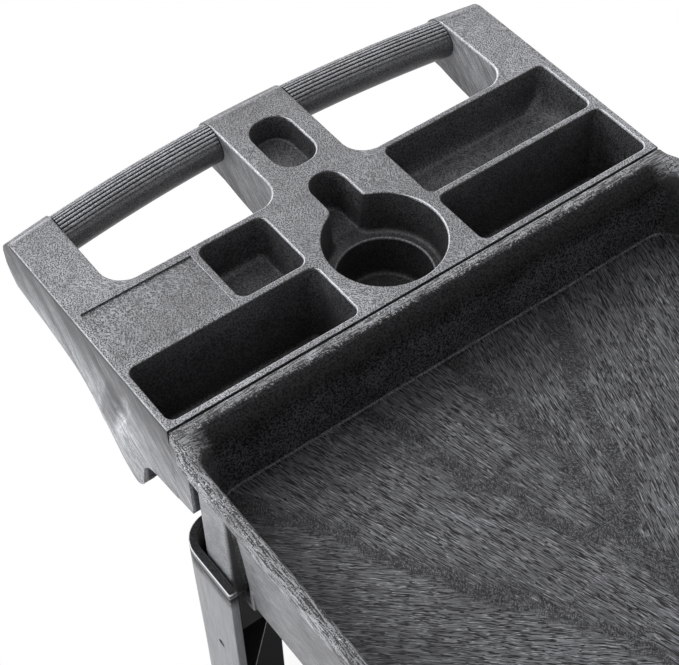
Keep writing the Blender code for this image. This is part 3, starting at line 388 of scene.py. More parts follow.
def console_outside():
    """Closed outer shape of the console, hollowed later."""
    e = SIDE_EDGE
    edge = [(-HALF + e * (1 - math.cos(a)), e * (1 - math.sin(a)))
            for a in (math.radians(d) for d in (0, 18, 36, 54, 72, 90))]
    inner = HALF - 0.012
    stations = edge + [(-inner + 2 * inner * k / 26, 0.0) for k in range(27)]
    stations += [(-y, lower) for y, lower in edge[::-1]]
    start = (CONSOLE_DEPTH - NOSE_CROWN - 0.52 * NOSE_ROUND, 0.047)
    low_line = smooth_line((start,) + SIDE_OUTLINE, 96)[1:]
    rings = []
    for y, lower in stations:
        columns = console_columns(y, lower, low_line)
        ring = [c[0] for c in columns] + columns[-1][1:-1]
        ring += [c[-1] for c in reversed(columns)] + columns[0][-2:0:-1]
        rings.append(ring)
    points, faces = loft(rings)
    faces = faces[:-2]
    for y, lower in (stations[0], stations[-1]):
        columns = console_columns(y, lower, low_line)
        start = len(points)
        rows = len(columns[0])
        for column in columns:
            points.extend(column)
        for i in range(len(columns) - 1):
            for j in range(rows - 1):
                a = start + i * rows + j
                faces.append((a, a + 1, a + rows + 1, a + rows))
    for point in points:
        side = 1 if point.y > 0 else -1
        share = max(0.0, (abs(point.y) - (HALF - 0.016)) / 0.016)
        dx = point.x - SEAM_X
        dz = point.z - TOP
        point.y += side * share * flare(dx, dz)
        if share > 0.9:
            point.y += side * hollow(dx, dz)
    return points, faces


def recess(box, radius, depth, fillets=(0.004, 0.004, 0.004, 0.004), draft=0.0012):
    """Cutter of a bin: rounded floor, drafted walls, rolled rim. Fillets: front, rear, left, right."""
    x0, x1, y0, y1 = box
    rings = []
    for angle in (0, 15, 30, 45, 60, 75, 90):
        lean = 1 - math.sin(math.radians(angle))
        rise = max(fillets) * (1 - math.cos(math.radians(angle)))
        a, b, c, d = (draft + f * lean for f in fillets)
        r = min(radius, 0.5 * (y1 - y0 - c - d) - 0.0004)
        rings.append(rounded(x0 + a, x1 - b, y0 + c, y1 - d, r, TOP - depth + rise))
    rings += [inset(box, -out, radius + out, TOP + up) for out, up in rolled(EDGE)]
    return loft(rings)


def keyhole(grow, z):
    """Level outline of the cup with its slot; grow widens it evenly."""
    radius = CUP_RADIUS + grow
    half = SLOT_WIDTH / 2 + grow
    cx = SEAM_X - CUP_SETBACK
    end = SEAM_X - SLOT_END - grow
    blend = 0.009
    reach = math.sqrt((radius + blend) ** 2 - (half + blend) ** 2)
    turn = math.atan2(half + blend, reach)
    ring = []
    for k in range(57):
        angle = -(math.pi - turn) + 2 * (math.pi - turn) * k / 56
        ring.append(Vector((cx + radius * math.cos(angle), radius * math.sin(angle), z)))
    for k in range(1, 7):
        angle = -turn + (turn - math.pi / 2) * k / 6
        ring.append(Vector((cx - reach + blend * math.cos(angle), half + blend + blend * math.sin(angle), z)))
    for k in range(17):
        angle = math.pi / 2 + math.pi * k / 16
        ring.append(Vector((end + half + half * math.cos(angle), half * math.sin(angle), z)))
    for k in range(6):
        angle = math.pi / 2 + (turn - math.pi / 2) * k / 6
        ring.append(Vector((cx - reach + blend * math.cos(angle), -half - blend + blend * math.sin(angle), z)))
    return ring


def finger_opening(side):
    """Cutter of one finger opening, open towards the nose."""
    a, b = sorted((side * (HALF - ARM_WIDTH), side * BRIDGE_WIDTH / 2))
    x0 = SEAM_X - CONSOLE_DEPTH - 0.03
    x1 = SEAM_X - ROW_EDGE
    rings = [rounded(x0, x1, a, b, OPENING_RADIUS, TOP - BELOW_ALL, 12)]
    for out, up in rolled(0.0015):
        rings.append(rounded(x0, x1 + out, a - out, b + out, OPENING_RADIUS, TOP + up, 12))
    return loft(rings)


def grip_x(y):
    """Axis of a grip, bowed like the nose."""
    return nose_x(y) + GRIP_SETBACK


def console_hollows():
    """Cutters from below: the room under the bins, the two arms and the bridge."""
    low = TOP - BELOW_ALL
    high = TOP - TOP_SKIN
    front = SEAM_X - ROW_EDGE + SIDE_WALL - 0.001
    room = block(front, SEAM_X - 0.008, -HALF + SIDE_WALL, HALF - SIDE_WALL, low, high, 0.004)
    arms = []
    for side in (-1, 1):
        a, b = sorted((side * (HALF - SIDE_WALL), side * (HALF - ARM_WIDTH + SIDE_WALL)))
        arms.append(block(nose_x(HALF) + 2.4 * GRIP_RADIUS, front + 0.004, a, b, low, high - 0.001, 0.004))
    half = BRIDGE_WIDTH / 2 - SIDE_WALL
    bridge = block(nose_x(0) + 2.7 * GRIP_RADIUS, front + 0.004, -half, half, low, high - 0.001, 0.004)
    return [room], arms, [bridge]


def console_screw_bores(start, stop):
    """Bores of the two screws through the seam between console and tray."""
    centres = [(SEAM_X, s * CONSOLE_SCREW_Y, TOP - CONSOLE_SCREW_DROP) for s in (-1, 1)]
    return [bore(centre, "X", CONSOLE_SCREW_BORE, start, stop) for centre in centres]


def tongue(side):
    """Tongue of a side wall that reaches under the tray's lip."""
    outline = [(-0.003, -LIP_HEIGHT - GAP), (TONGUE_LENGTH, -LIP_HEIGHT - GAP),
               (TONGUE_LENGTH, -0.0725), (TONGUE_LENGTH - 0.001, -0.0736), (-0.003, -0.077)]
    depths = sorted((side * (HALF - 0.0001), side * (HALF - TONGUE_THICKNESS)))
    return loft([[Vector((SEAM_X + dx, y, TOP + dz)) for dx, dz in outline] for y in depths])


def label_panel(box):
    """Cutter of the flat label panel, a little deeper towards the nose."""
    rings = [inset(box, -out, 0.0009 + out, TOP + up, 4)
             for out, up in ((0.0, -LABEL_DEPTH), (0.0001, -0.0001), (0.0004, 0.0002))]
    for point in rings[0]:
        point.z -= 0.0005 * (1 - 2 * (point.x - box[0]) / (box[1] - box[0]))
    return loft(rings)


def console():
    """The handle console with every recess and rounded edge."""
    deep1 = SEAM_X - BIN_MARGIN
    deep0 = deep1 - DEEP_BIN_X
    row1 = deep0 - DIVIDER
    row0 = row1 - ROW_BIN_X
    side = HALF - BIN_MARGIN
    pocket1 = -CENTRE_HALF - 0.0017
    pocket0 = pocket1 - POCKET_Y
    oval1 = SEAM_X - OVAL_START
    oval = (oval1 - OVAL_LENGTH, oval1, -OVAL_WIDTH / 2, OVAL_WIDTH / 2)
    cup = (SEAM_X - CUP_SETBACK, 0.0, 0.0)
    ledge = TOP - CUP_LEDGE_DEPTH
    base = TOP - WELL_DEPTH
    bin_floor = TOP - DEEP_BIN_DEPTH
    skin = TOP - 0.002
    w = WALL
    steps = Steps()
    for shells in console_hollows():
        steps.cut(*shells)
    steps.cut(finger_opening(-1), finger_opening(1))
    # Walls round the recesses
    steps.add(loft([inset(oval, -w, oval[3] + w - 0.0005, z) for z in (TOP - OVAL_DEPTH - w, skin)]))
    steps.add(loft([keyhole(w - 0.001, z) for z in (ledge - w, skin)]))
    steps.add(bore(cup, "Z", WELL_RADIUS + w, base - w, ledge - 0.001, 48))
    for y0, y1, depth in ((pocket0 - w, pocket1 + w, POCKET_DEPTH),
                          (CENTRE_HALF - w, side + 0.003, ROW_BIN_DEPTH)):
        steps.add(block(row0 - 0.003, row1 + w, y0, y1, TOP - depth - w, skin, 0.004))
    spans = [sorted((s * (CENTRE_HALF - w), s * (side + 0.003))) for s in (-1, 1)]
    steps.add(*(block(deep0 - w, deep1 + 0.002, a, b, bin_floor - 0.0038, skin, 0.004) for a, b in spans))
    steps.add(block(SEAM_X - 0.056, SEAM_X - 0.0495, -HALF + SIDE_WALL - 0.002, HALF - SIDE_WALL + 0.002,
                    TOP - 0.1128, bin_floor + 0.001))
    steps.add(tongue(-1), tongue(1))
    # The recesses themselves
    steps.cut(recess((deep0, deep1, -side, -CENTRE_HALF), 0.007, DEEP_BIN_DEPTH),
              recess((deep0, deep1, CENTRE_HALF, side), 0.007, DEEP_BIN_DEPTH),
              recess((row0, row1, CENTRE_HALF - 0.0015, side - 0.002), 0.007, ROW_BIN_DEPTH,
                     (0.009, 0.004, 0.004, 0.022)),
              recess((row0, row1, pocket0, pocket1), 0.008, POCKET_DEPTH, (0.007, 0.004, 0.004, 0.004)),
              recess(oval, oval[3] - 0.0022, OVAL_DEPTH, (0.002, 0.002, 0.002, 0.002), 0.001))
    steps.cut(label_panel((row0 + 0.002, row1 - 0.001, -side + 0.001, pocket0 - DIVIDER)))
    fillet = ((-0.005, 0.0), (-0.0036, 0.0003), (-0.0024, 0.0013), (-0.0016, 0.0026), (-0.0012, 0.0042))
    steps.cut(loft([keyhole(grow, ledge + up) for grow, up in fillet]
                   + [keyhole(out, TOP + up) for out, up in rolled(EDGE)]))
    fillet = ((-0.0062, 0.0), (-0.0046, 0.0004), (-0.0032, 0.0014), (-0.0024, 0.003), (-0.002, 0.005))
    brim = ((0.0, -1.0), (0.1, -0.55), (0.35, -0.22), (0.8, -0.02), (2.0, 0.2))
    steps.cut(turned(cup, "Z", [(WELL_RADIUS + out, base + up) for out, up in fillet]
                     + [(WELL_RADIUS + out * EDGE, ledge + up * EDGE) for out, up in brim], 72))
    sockets = []
    for s in (-1, 1):
        for y, way in ((s * (HALF - ARM_WIDTH), s), (s * BRIDGE_WIDTH / 2, -s)):
            sockets.append(bore((grip_x(y), y, TOP - GRIP_DROP), "Y", SPIGOT_RADIUS + 2 * GAP,
                                -way * 0.004, way * (SPIGOT_LENGTH + GAP), 24))
    steps.cut(*sockets)
    steps.cut(*console_screw_bores(-0.012, 0.004))
    return sculpt("console_moulding", console_outside(), steps)


def flute_profile():
    """Angles in degrees and depths of the grooves round a grip, then its smooth belly."""
    first, last, pitch = 36.0, 258.0, 12.0
    groove = ((0.0, 1.0), (0.1, 0.85), (0.22, 0.32), (0.4, 0.04), (0.6, 0.04), (0.78, 0.32), (0.9, 0.85))
    profile = []
    angle = first
    while angle < last:
        fade = min(1.0, 0.45 + (angle - first) / 60.0)
        profile += [(angle + share * pitch, FLUTE_DEPTH * drop * fade) for share, drop in groove]
        angle += pitch
    while angle < first + 355.0:
        profile.append((angle, 0.0))
        angle += 5.0
    return profile


def grip(name, side):
    """Round bar with narrow grooves on its upper side and a smooth belly."""
    y0 = HALF - ARM_WIDTH - GAP
    y1 = BRIDGE_WIDTH / 2 + GAP
    z = TOP - GRIP_DROP
    profile = flute_profile()

    def ring(y, radius, share, x):
        out = []
        for degrees, depth in profile:
            r = radius - depth * share
            a = math.radians(degrees)
            out.append(Vector((x + r * math.cos(a), side * y, z + r * math.sin(a))))
        return out

    x = grip_x(HALF - ARM_WIDTH)
    rings = [ring(y0 + SPIGOT_LENGTH, SPIGOT_RADIUS, 0, x), ring(y0, SPIGOT_RADIUS, 0, x),
             ring(y0, GRIP_RADIUS - 0.0014, 0, x)]
    for k in range(19):
        y = y0 - 0.0008 + (y1 - y0 + 0.0016) * k / 18
        rings.append(ring(y, GRIP_RADIUS, 1, grip_x(y)))
    x = grip_x(BRIDGE_WIDTH / 2)
    rings += [ring(y1, GRIP_RADIUS - 0.0014, 0, x), ring(y1, SPIGOT_RADIUS, 0, x),
              ring(y1 - SPIGOT_LENGTH, SPIGOT_RADIUS, 0, x)]
    return smooth(shells_to_object(name, [loft(rings)]), 40)


# Trays

def rim_ring(x0, x1, half, radius, z, step):
    """Ring of the rim. With a step its seam end is narrower and square, with an S-shaped run out."""
    steps = 12
    ring = rounded(x0, x1, -half, half, radius, z, steps)
    if step <= 0:
        return ring
    narrow = half - step
    run = smooth_line(((0.0, -0.0012), (0.0008, -0.0001), (0.004, 0.0), (0.0075, 0.0006), (0.0125, 0.0027),
                       (0.0185, 0.0053), (0.024, 0.0063), (0.03, 0.0065)), 16)
    left = [Vector((x0 + dx, -(narrow + dy), z)) for dx, dy in run]
    right = [Vector((p.x, -p.y, z)) for p in reversed(left)]
    far_corners = ring[:2 * (steps + 1)]
    return far_corners + right + left


def tray_room(x0, top):
    """Cutter of the tray: floor fillet, drafted walls, rolled rim."""
    x1 = SHELF_X1
    inner = CART_WIDTH / 2 - RIM_WIDTH
    floor = -TRAY_DEPTH
    levels = smooth_line((
        (0.0303, 0.0067, 0.022, floor + 0.0003), (0.0298, 0.0062, 0.022, floor + 0.0009),
        (0.0295, 0.006, 0.022, floor + 0.0022), (0.0292, 0.0057, 0.022, floor + 0.005),
        (0.0274, 0.0045, 0.022, -0.034), (0.0255, 0.0031, 0.021, -0.014), (0.023, 0.0022, 0.0205, -0.008),
        (0.0185, 0.001, 0.02, -0.0034), (0.0135, -0.0003, 0.02, -0.0009), (0.0045, -0.0029, 0.02, 0.0009),
    ), 42)
    levels = [(0.0316, 0.008, 0.021, floor), (0.0309, 0.0073, 0.0215, floor + 0.0001)] + levels
    return loft([rounded(x0 + dx, x1 - dx, -inner + dy, inner - dy, radius, top + dz, 12)
                 for dx, dy, radius, dz in levels])


def at_corner(corner, dx, dy, z):
    """Point at dx from the tray's end and dy from its outer side."""
    sx, sy = corner
    return Vector((SHELF_MID + sx * (SEAM_X + dx - SHELF_MID), sy * (CART_WIDTH / 2 - dy), z))


def corner_ring(corner, outline, z):
    """Level ring at a corner from distances dx and dy."""
    return [at_corner(corner, dx, dy, z) for dx, dy in outline]


def post(corner, z0, z1):
    """Corner post with a large rounding outside and hollow blends to the skirts."""
    levels = [(z0, 0.0022), (z0 + 0.0004, 0.001), (z0 + 0.0012, 0.0003), (z0 + 0.0024, 0.0)]
    levels += [(z0 + (z1 - z0) * k / 6, 0.0) for k in range(1, 7)]
    rings = []
    for z, shrink in levels:
        lean = SKIRT_SLOPE * (z1 - z) / (z1 - z0)
        blend = 0.5 * lean
        r = POST_RADIUS - shrink
        x0 = END_SETBACK - 0.0002 + shrink
        y0 = SIDE_SETBACK - 0.0001 + shrink
        end = END_SETBACK + POST_X - shrink
        rim = SIDE_SETBACK + POST_Y - shrink
        ring = []
        for k in range(9):
            a = math.radians(90 * k / 8)
            ring.append((x0 + r - r * math.cos(a), y0 + r - r * math.sin(a)))
        ring.append((end - 0.0022, y0))
        for degrees in (22, 45, 68, 90):
            a = math.radians(degrees)
            ring.append((end - 0.0022 + 0.0022 * math.sin(a), y0 + 0.0022 * (1 - math.cos(a))))
        ring += [(end + 0.1 * blend, y0 + 0.55 * lean + 0.0023), (end + 0.55 * blend, y0 + 0.9 * lean + 0.0024),
                 (end + 1.4 * blend, y0 + lean + 0.0025), (end, y0 + 0.012 + lean), (end, rim),
                 (x0 + 0.012 + lean, rim), (x0 + lean + 0.0025, rim), (x0 + 0.5 * lean, rim), (x0, rim - 0.002)]
        rings.append(corner_ring(corner, ring, z))
    return loft(rings)


def scoop(corner, top, skirt):
    """Cutter of the hollow that runs down beside a post and ends in a point under the lip."""
    outline = ((0.0, -0.004), (0.0, 0.0), (0.0003, 0.6), (0.0012, 0.92), (0.003, 1.0), (0.005, 0.86),
               (0.0072, 0.58), (0.0094, 0.27), (0.0116, 0.06), (0.013, 0.0), (0.013, -0.004))
    levels = ((0.015, 0.04, 0.0003), (0.0175, 0.18, 0.0008), (0.0215, 0.42, 0.0016), (0.027, 0.72, 0.0022),
              (0.035, 1.0, 0.0024), (0.06, 1.0, 0.0024), (0.072, 1.0, 0.0046), (skirt - 0.018, 1.0, 0.0048),
              (skirt - 0.009, 1.0, 0.0034), (skirt - 0.0045, 1.0, 0.0008), (skirt - 0.0035, 1.0, 0.0001))
    rings = []
    for drop, wide, deep in levels:
        lean = SKIRT_SLOPE * (drop - LIP_HEIGHT) / (skirt - LIP_HEIGHT)
        ring = [(END_SETBACK + POST_X + along * wide,
                 SIDE_SETBACK + lean + (share if share < 0 else deep * share))
                for along, share in outline]
        rings.append(corner_ring(corner, ring, top - drop))
    return loft(rings)


def corner_block(corner, half, z0, z1):
    """Square block about the axis of a tenon."""
    p = at_corner(corner, TENON_X, TENON_Y, 0)
    return block(p.x - half, p.x + half, p.y - half, p.y + half, z0, z1)


def leg_notch(corner, z0, z1):
    """Cutter that gives way to a leg at a corner of the lower tray."""
    c = 0.0004
    out = 0.012
    inner = LEG_WALL + c
    lean = LEG_LEAN + inner
    r = LEG_RADIUS - inner
    ring = [(LEG_X + c, -out), (-out, -out), (-out, LEG_Y + c), (lean, LEG_Y + c)]
    for k in range(9):
        a = math.radians(90 - 90 * k / 8)
        ring.append((lean + r - r * math.sin(a), inner + r - r * math.cos(a)))
    ring.append((LEG_X + c, inner))
    return loft([corner_ring(corner, ring, z) for z in (z0, z1)])


def tray_screw_bores(dy, z, start, stop):
    """Bores of one screw at each corner of a tray, from its sides."""
    return [bore(at_corner(c, TENON_X, dy, z), "Y", SCREW_BORE, c[1] * start, c[1] * stop)
            for c in CORNERS.values()]


def tray_rim(x0, top, step):
    """Rim with rolled upper edge and lip."""
    x1 = SHELF_X1
    half = CART_WIDTH / 2
    rings = []
    for degrees in (90, 70, 50, 30, 12, 0):
        a = math.radians(degrees)
        end_in = RIM_EDGE * (1 - math.cos(a))
        side_in = end_in + 0.0004
        rings.append(rim_ring(x0 + end_in, x1 - end_in, half - side_in, RIM_RADIUS - side_in,
                              top - RIM_EDGE * (1 - math.sin(a)), step))
    for out, up in ((0.0, 0.0016), (0.0002, 0.0008), (0.0007, 0.0002), (0.0014, 0.0)):
        rings.append(rim_ring(x0 + out, x1 - out, half - out, RIM_RADIUS - out, top - LIP_HEIGHT + up, step))
    return loft(rings)


def shelf(name, top, skirt, x0, step, bottom_of_post, socketed):
    """A tray with rim, lip, skirts, posts and ribs; the socketed one takes the console and the tenons."""
    lip = top - LIP_HEIGHT
    low = top - skirt
    under = top - TRAY_DEPTH - FLOOR_THICKNESS
    side = CART_WIDTH / 2 - SIDE_SETBACK
    end0 = SEAM_X + END_SETBACK
    end1 = SHELF_X1 - END_SETBACK
    walls = (end0, end1, -side, side)
    s = SKIRT_SLOPE
    w = WALL
    slope = s * (TRAY_DEPTH + FLOOR_THICKNESS - LIP_HEIGHT) / (skirt - LIP_HEIGHT) + w
    steps = Steps()
    drawn = [inset(walls, by, radius, z, 12) for by, radius, z in (
        (0.0, SKIRT_RADIUS, lip + 0.004), (-0.0016, 0.0116, lip), (-0.0005, 0.0105, lip - 0.0005),
        (0.0001, SKIRT_RADIUS, lip - 0.0018))]
    drawn += [inset(walls, s * share, SKIRT_RADIUS, lip + (low + 0.0012 - lip) * share, 12)
              for share in (0.25, 0.5, 0.75, 1.0)]
    steps.add(loft(drawn + [inset(walls, s + 0.0012, 0.009, low, 12)]))
    steps.cut(loft([inset(walls, s + w, 0.008, low - 0.001, 8), inset(walls, slope, 0.008, under + 0.003, 8),
                    inset(walls, slope + 0.003, 0.006, under, 8)]))
    steps.add(*(post(c, top - bottom_of_post, lip + 0.001) for c in CORNERS.values()))
    if socketed:
        pads = []
        for c in CORNERS.values():
            p = at_corner(c, END_SETBACK + POST_X - 0.003, SIDE_SETBACK + 0.006, 0)
            q = at_corner(c, END_SETBACK + POST_X + 0.016, SIDE_SETBACK + 0.0175, 0)
            pads.append(block(*sorted((p.x, q.x)), *sorted((p.y, q.y)), low + 0.0004, under + 0.001))
        steps.add(*pads)
        steps.cut(*(scoop(c, top, skirt) for c in CORNERS.values()))
    rib_low = under - RIB_HEIGHT
    reach = side - slope + 0.003
    ribs_x = [end0 + (end1 - end0) * share for share in (0.27, 0.5, 0.73)]
    steps.add(*(block(x - RIB / 2, x + RIB / 2, -reach, reach, rib_low, under + 0.002, 0.0005) for x in ribs_x))
    steps.add(*(block(end0 + slope - 0.003, end1 - slope + 0.003, side * k - RIB / 2, side * k + RIB / 2,
                      rib_low + 0.002, under + 0.0015, 0.0005) for k in (-0.36, 0.36)))
    room = tray_room(x0 - SEAM_GAP / 2 if step > 0 else x0, top)
    if socketed:
        steps.cut(room)
        steps.cut(*(corner_block(c, TENON / 2 + GAP, low - 0.001, top - TENON_TOP + GAP)
                    for c in CORNERS.values()))
        holes = tray_screw_bores(SIDE_SETBACK + POST_Y, TOP - LEG_SCREW_DROP, -0.003, 0.012)
        holes += console_screw_bores(0.015, 0.0268)
    else:
        steps.add(*(block(x - PAD_X / 2, x + PAD_X / 2, y - PAD_Y / 2, y + PAD_Y / 2,
                          CASTER_HEIGHT + GAP, under + 0.001, 0.006, 6) for x, y in CASTER_SPOTS))
        steps.cut(room)
        steps.cut(*(leg_notch(c, low - 0.001, top + 0.003) for c in CORNERS.values()))
        holes = tray_screw_bores(SIDE_SETBACK, FOOT_SCREW_Z, 0.003, -0.022)
        holes += [bore((x + i * HOLES_X / 2, y + j * HOLES_Y / 2, 0), "Z", BOLT_RADIUS + 2 * GAP,
                       CASTER_HEIGHT - 0.002, CASTER_HEIGHT + 0.0245)
                  for x, y in CASTER_SPOTS for i in (-1, 1) for j in (-1, 1)]
    steps.cut(*holes)
    return sculpt(name, tray_rim(x0, top, step), steps)


# Legs

def leg_section(corner, z, lean, shrink=0.0):
    """L-shaped ring of a leg; shrink pulls it in all round."""
    r = LEG_RADIUS
    outer = r - shrink
    inner = r - LEG_WALL + shrink
    end = LEG_X - shrink
    rim = LEG_Y - shrink
    x0 = lean + shrink
    quarter = [math.radians(7.5 * k) for k in range(13)]
    ring = [(lean + r - outer * math.sin(a), r - outer * math.cos(a)) for a in quarter]
    ring += [(x0, rim - 0.0014), (x0 + 0.0005, rim - 0.0003), (x0 + 0.0014, rim),
             (lean + LEG_WALL - shrink, rim)]
    ring += [(lean + r - inner * math.sin(a), r - inner * math.cos(a)) for a in reversed(quarter)]
    ring += [(end, LEG_WALL - shrink), (end, 0.0014 + shrink), (end - 0.0003, 0.0005 + shrink),
             (end - 0.0012, shrink)]
    return corner_ring(corner, ring, z)


def leg(name, corner):
    """Corner leg: L-shaped shell with a beaded rim, tenon, webs and gussets."""
    top = TOP - LEG_TOP
    bottom = LOWER_TRAY_TOP - LOWER_SKIRT
    knee = TOP - LEG_LEAN_END
    bead = ((0.0, 0.0011), (0.0003, 0.0005), (0.0009, 0.0001), (0.002, 0.0), (0.0046, 0.0),
            (0.005, 0.0009), (0.006, 0.001), (0.0066, 0.0001), (0.0078, 0.0))
    sections = [leg_section(corner, top - drop, 0.0, shrink) for drop, shrink in bead]
    start = top - bead[-1][0]
    for share in (0.2, 0.4, 0.6, 0.8, 1.0):
        lean = LEG_LEAN * share * share * (3 - 2 * share)
        sections.append(leg_section(corner, start + (knee - start) * share, lean))
    sections += [leg_section(corner, bottom + 0.0012, LEG_LEAN), leg_section(corner, bottom, LEG_LEAN, 0.0009)]
    web_top = TOP - UPPER_SKIRT - 0.001
    tenon_end = web_top - 0.052
    steps = Steps()
    steps.add(corner_block(corner, TENON / 2, tenon_end, TOP - TENON_TOP - GAP))
    q = at_corner(corner, TENON_X, TENON_Y, 0)
    p = at_corner(corner, LEG_WALL - 0.001, LEG_WALL - 0.002, 0)
    steps.add(block(q.x - 0.002, q.x + 0.002, *sorted((p.y, q.y)), tenon_end + 0.003, web_top, 0.0005))
    steps.add(block(*sorted((p.x, q.x)), q.y - 0.002, q.y + 0.002, tenon_end + 0.004, web_top - 0.001, 0.0005))
    bend = LEG_RADIUS - LEG_WALL / 2
    outline = [(LEG_LEAN + LEG_RADIUS - bend * math.cos(a), LEG_RADIUS - bend * math.sin(a))
               for a in (0.25, 0.52, 0.785, 1.05, 1.32)]
    outline += [(LEG_X - 0.006, LEG_WALL - 0.003), (LEG_X - 0.006, LEG_WALL + 0.006),
                (LEG_WALL + 0.01, LEG_Y - 0.01), (LEG_LEAN + LEG_WALL - 0.003, LEG_Y - 0.01)]
    upper = tenon_end - 0.06
    lower = LOWER_TRAY_TOP + 0.05
    gussets = []
    for z in (upper, upper + (lower - upper) / 2, lower):
        gussets.append(loft([corner_ring(corner, outline, z + dz) for dz in (0.0, 0.004)]))
    steps.add(*gussets)
    out = corner[1]
    inside = -out * (LEG_WALL + 0.001)
    head = -out * 0.0036
    screw = at_corner(corner, TENON_X, 0.0, FOOT_SCREW_Z)
    free = at_corner(corner, LEG_HOLE_X, 0.0, TOP - LEG_HOLE_DROP)
    steps.cut(bore(free, "Y", LEG_HOLE_RADIUS, out * 0.002, inside, 24),
              turned(screw, "Y", [(SCREW_HEAD + GAP, out * 0.002), (SCREW_HEAD + GAP, head),
                                  (SCREW_BORE, head), (SCREW_BORE, inside)], 24))
    screw = at_corner(corner, TENON_X, TENON_Y + TENON / 2, TOP - LEG_SCREW_DROP)
    steps.cut(bore(screw, "Y", SCREW_BORE, -out * 0.002, out * 0.012))
    return sculpt(name, loft(sections), steps)


# Wheels

def tyre(name, x, y):
    """Rubber tyre with rounded shoulders."""
    rim = WHEEL_RADIUS - TYRE_HEIGHT
    half = TREAD / 2
    outline = [(rim + 3 * GAP, -half + 0.001), (rim + 0.004, -half + 0.0002), (WHEEL_RADIUS - 0.006, -half),
               (WHEEL_RADIUS - 0.003, -half + 0.0012), (WHEEL_RADIUS - 0.001, -half + 0.0036),
               (WHEEL_RADIUS - 0.0002, -half + 0.007), (WHEEL_RADIUS, -0.004)]
    outline += [(r, -along) for r, along in reversed(outline)]
    shell = turned((x, y, WHEEL_RADIUS), "Y", outline, 96, looped=True)
    return smooth(shells_to_object(name, [shell]), 45)


def hub(name, x, y):
    """Plastic hub: barrel, dished web with ribs, rim band."""
    half = FORK_INSIDE - 0.0008
    rim = WHEEL_RADIUS - TYRE_HEIGHT
    inner = AXLE_RADIUS + GAP
    tread = TREAD / 2
    outline = [(inner, -half), (0.0152, -half), (0.016, -half + 0.0008), (0.0168, -0.0068), (0.018, -0.0052),
               (0.021, -0.0046), (rim - 0.0085, -0.004), (rim - 0.0066, -0.0048), (rim - 0.0058, -0.0068),
               (rim - 0.0046, -tread + 0.0026), (rim - 0.0038, -tread + 0.002), (rim, -tread + 0.002)]
    outline += [(r, -along) for r, along in reversed(outline)]
    ribs = []
    for s in (-1, 1):
        for k in range(6):
            a = math.radians(60 * k + 30)
            u = Vector((math.cos(a), 0, math.sin(a)))
            v = Vector((-math.sin(a), 0, math.cos(a)))
            rows = []
            for r, deep in ((0.0148, 0.0138), (rim - 0.0052, 0.01)):
                c = Vector((x, y, WHEEL_RADIUS)) + u * r
                rows.append([c + v * half_wide + Vector((0, s * out, 0)) for half_wide, out in (
                    (0.0015, 0.003), (-0.0015, 0.003), (-0.0011, deep), (0.0011, deep))])
            ribs.append(loft(rows))
    steps = Steps()
    steps.add(*ribs)
    return sculpt(name, turned((x, y, WHEEL_RADIUS), "Y", outline, 72, looped=True), steps)


# Finishes

class Value:
    """Output of a node; arithmetic on it adds nodes."""

    def __init__(self, nodes, socket):
        self.nodes = nodes
        self.socket = socket

    def __add__(self, other):
        return self.nodes.math("ADD", self, other)

    def __sub__(self, other):
        return self.nodes.math("SUBTRACT", self, other)

    def __rsub__(self, other):
        return self.nodes.math("SUBTRACT", other, self)

    def __mul__(self, other):
        return self.nodes.math("MULTIPLY", self, other)

    def __truediv__(self, other):
        return self.nodes.math("DIVIDE", self, other)

    def __abs__(self):
        return self.nodes.math("ABSOLUTE", self)

    def ramp(self, low, high, out_low=0.0, out_high=1.0, kind="SMOOTHSTEP"):
        """Soft step of the value between two levels."""
        node = self.nodes.add("MapRange", dict(enumerate((self, low, high, out_low, out_high))))
        node.interpolation_type = kind
        return Value(self.nodes, node.outputs[0])

    def line(self, low, high, out_low=0.0, out_high=1.0):
        return self.ramp(low, high, out_low, out_high, "LINEAR")

    def near(self, at, half):
        """One within a narrow band, fading to nothing at its edges."""
        return abs(self - at).ramp(0.5 * half, half, 1.0, 0.0)

    def mix(self, a, b):
        """From a to b as the value goes from nothing to one."""
        return Value(self.nodes, self.nodes.add("Mix", {0: self, 2: a, 3: b}).outputs[0])


def most(a, b):
    return a.nodes.math("MAXIMUM", a, b)


def least(a, b):
    return a.nodes.math("MINIMUM", a, b)


class Nodes:
    """A node tree, written as nested calls."""

    def __init__(self, tree):
        self.tree = tree
        tree.nodes.clear()

    def link(self, socket, value):
        value = getattr(value, "socket", value)
        if isinstance(value, bpy.types.NodeSocket):
            self.tree.links.new(value, socket)
        elif isinstance(value, tuple):
            socket.default_value = (value + (1.0,))[:len(socket.default_value)]
        else:
            socket.default_value = value

    def add(self, kind, values=None):
        node = self.tree.nodes.new("ShaderNode" + kind)
        for key, value in (values or {}).items():
            self.link(node.inputs[key], value)
        return node

    def math(self, operation, a, b=0.0):
        node = self.add("Math", {0: a, 1: b})
        node.operation = operation
        return Value(self, node.outputs[0])

    def vector(self, operation, a, b=(0, 0, 0), out="Vector"):
        node = self.add("VectorMath", {0: a, 1: b})
        node.operation = operation
        return Value(self, node.outputs[out])

    def turn(self, vector, axis, angle):
        node = self.add("VectorRotate", {"Vector": vector, "Angle": angle})
        node.rotation_type = axis + "_AXIS"
        return Value(self, node.outputs[0])

    def split(self, vector):
        return [Value(self, out) for out in self.add("SeparateXYZ", {0: vector}).outputs]

    def join(self, x, y, z):
        return Value(self, self.add("CombineXYZ", {0: x, 1: y, 2: z}).outputs[0])

    def noise(self, vector, scale, detail=2.0, rough=0.5, out="Fac"):
        node = self.add("TexNoise", {"Vector": vector, "Scale": scale, "Detail": detail, "Roughness": rough})
        return Value(self, node.outputs[out])


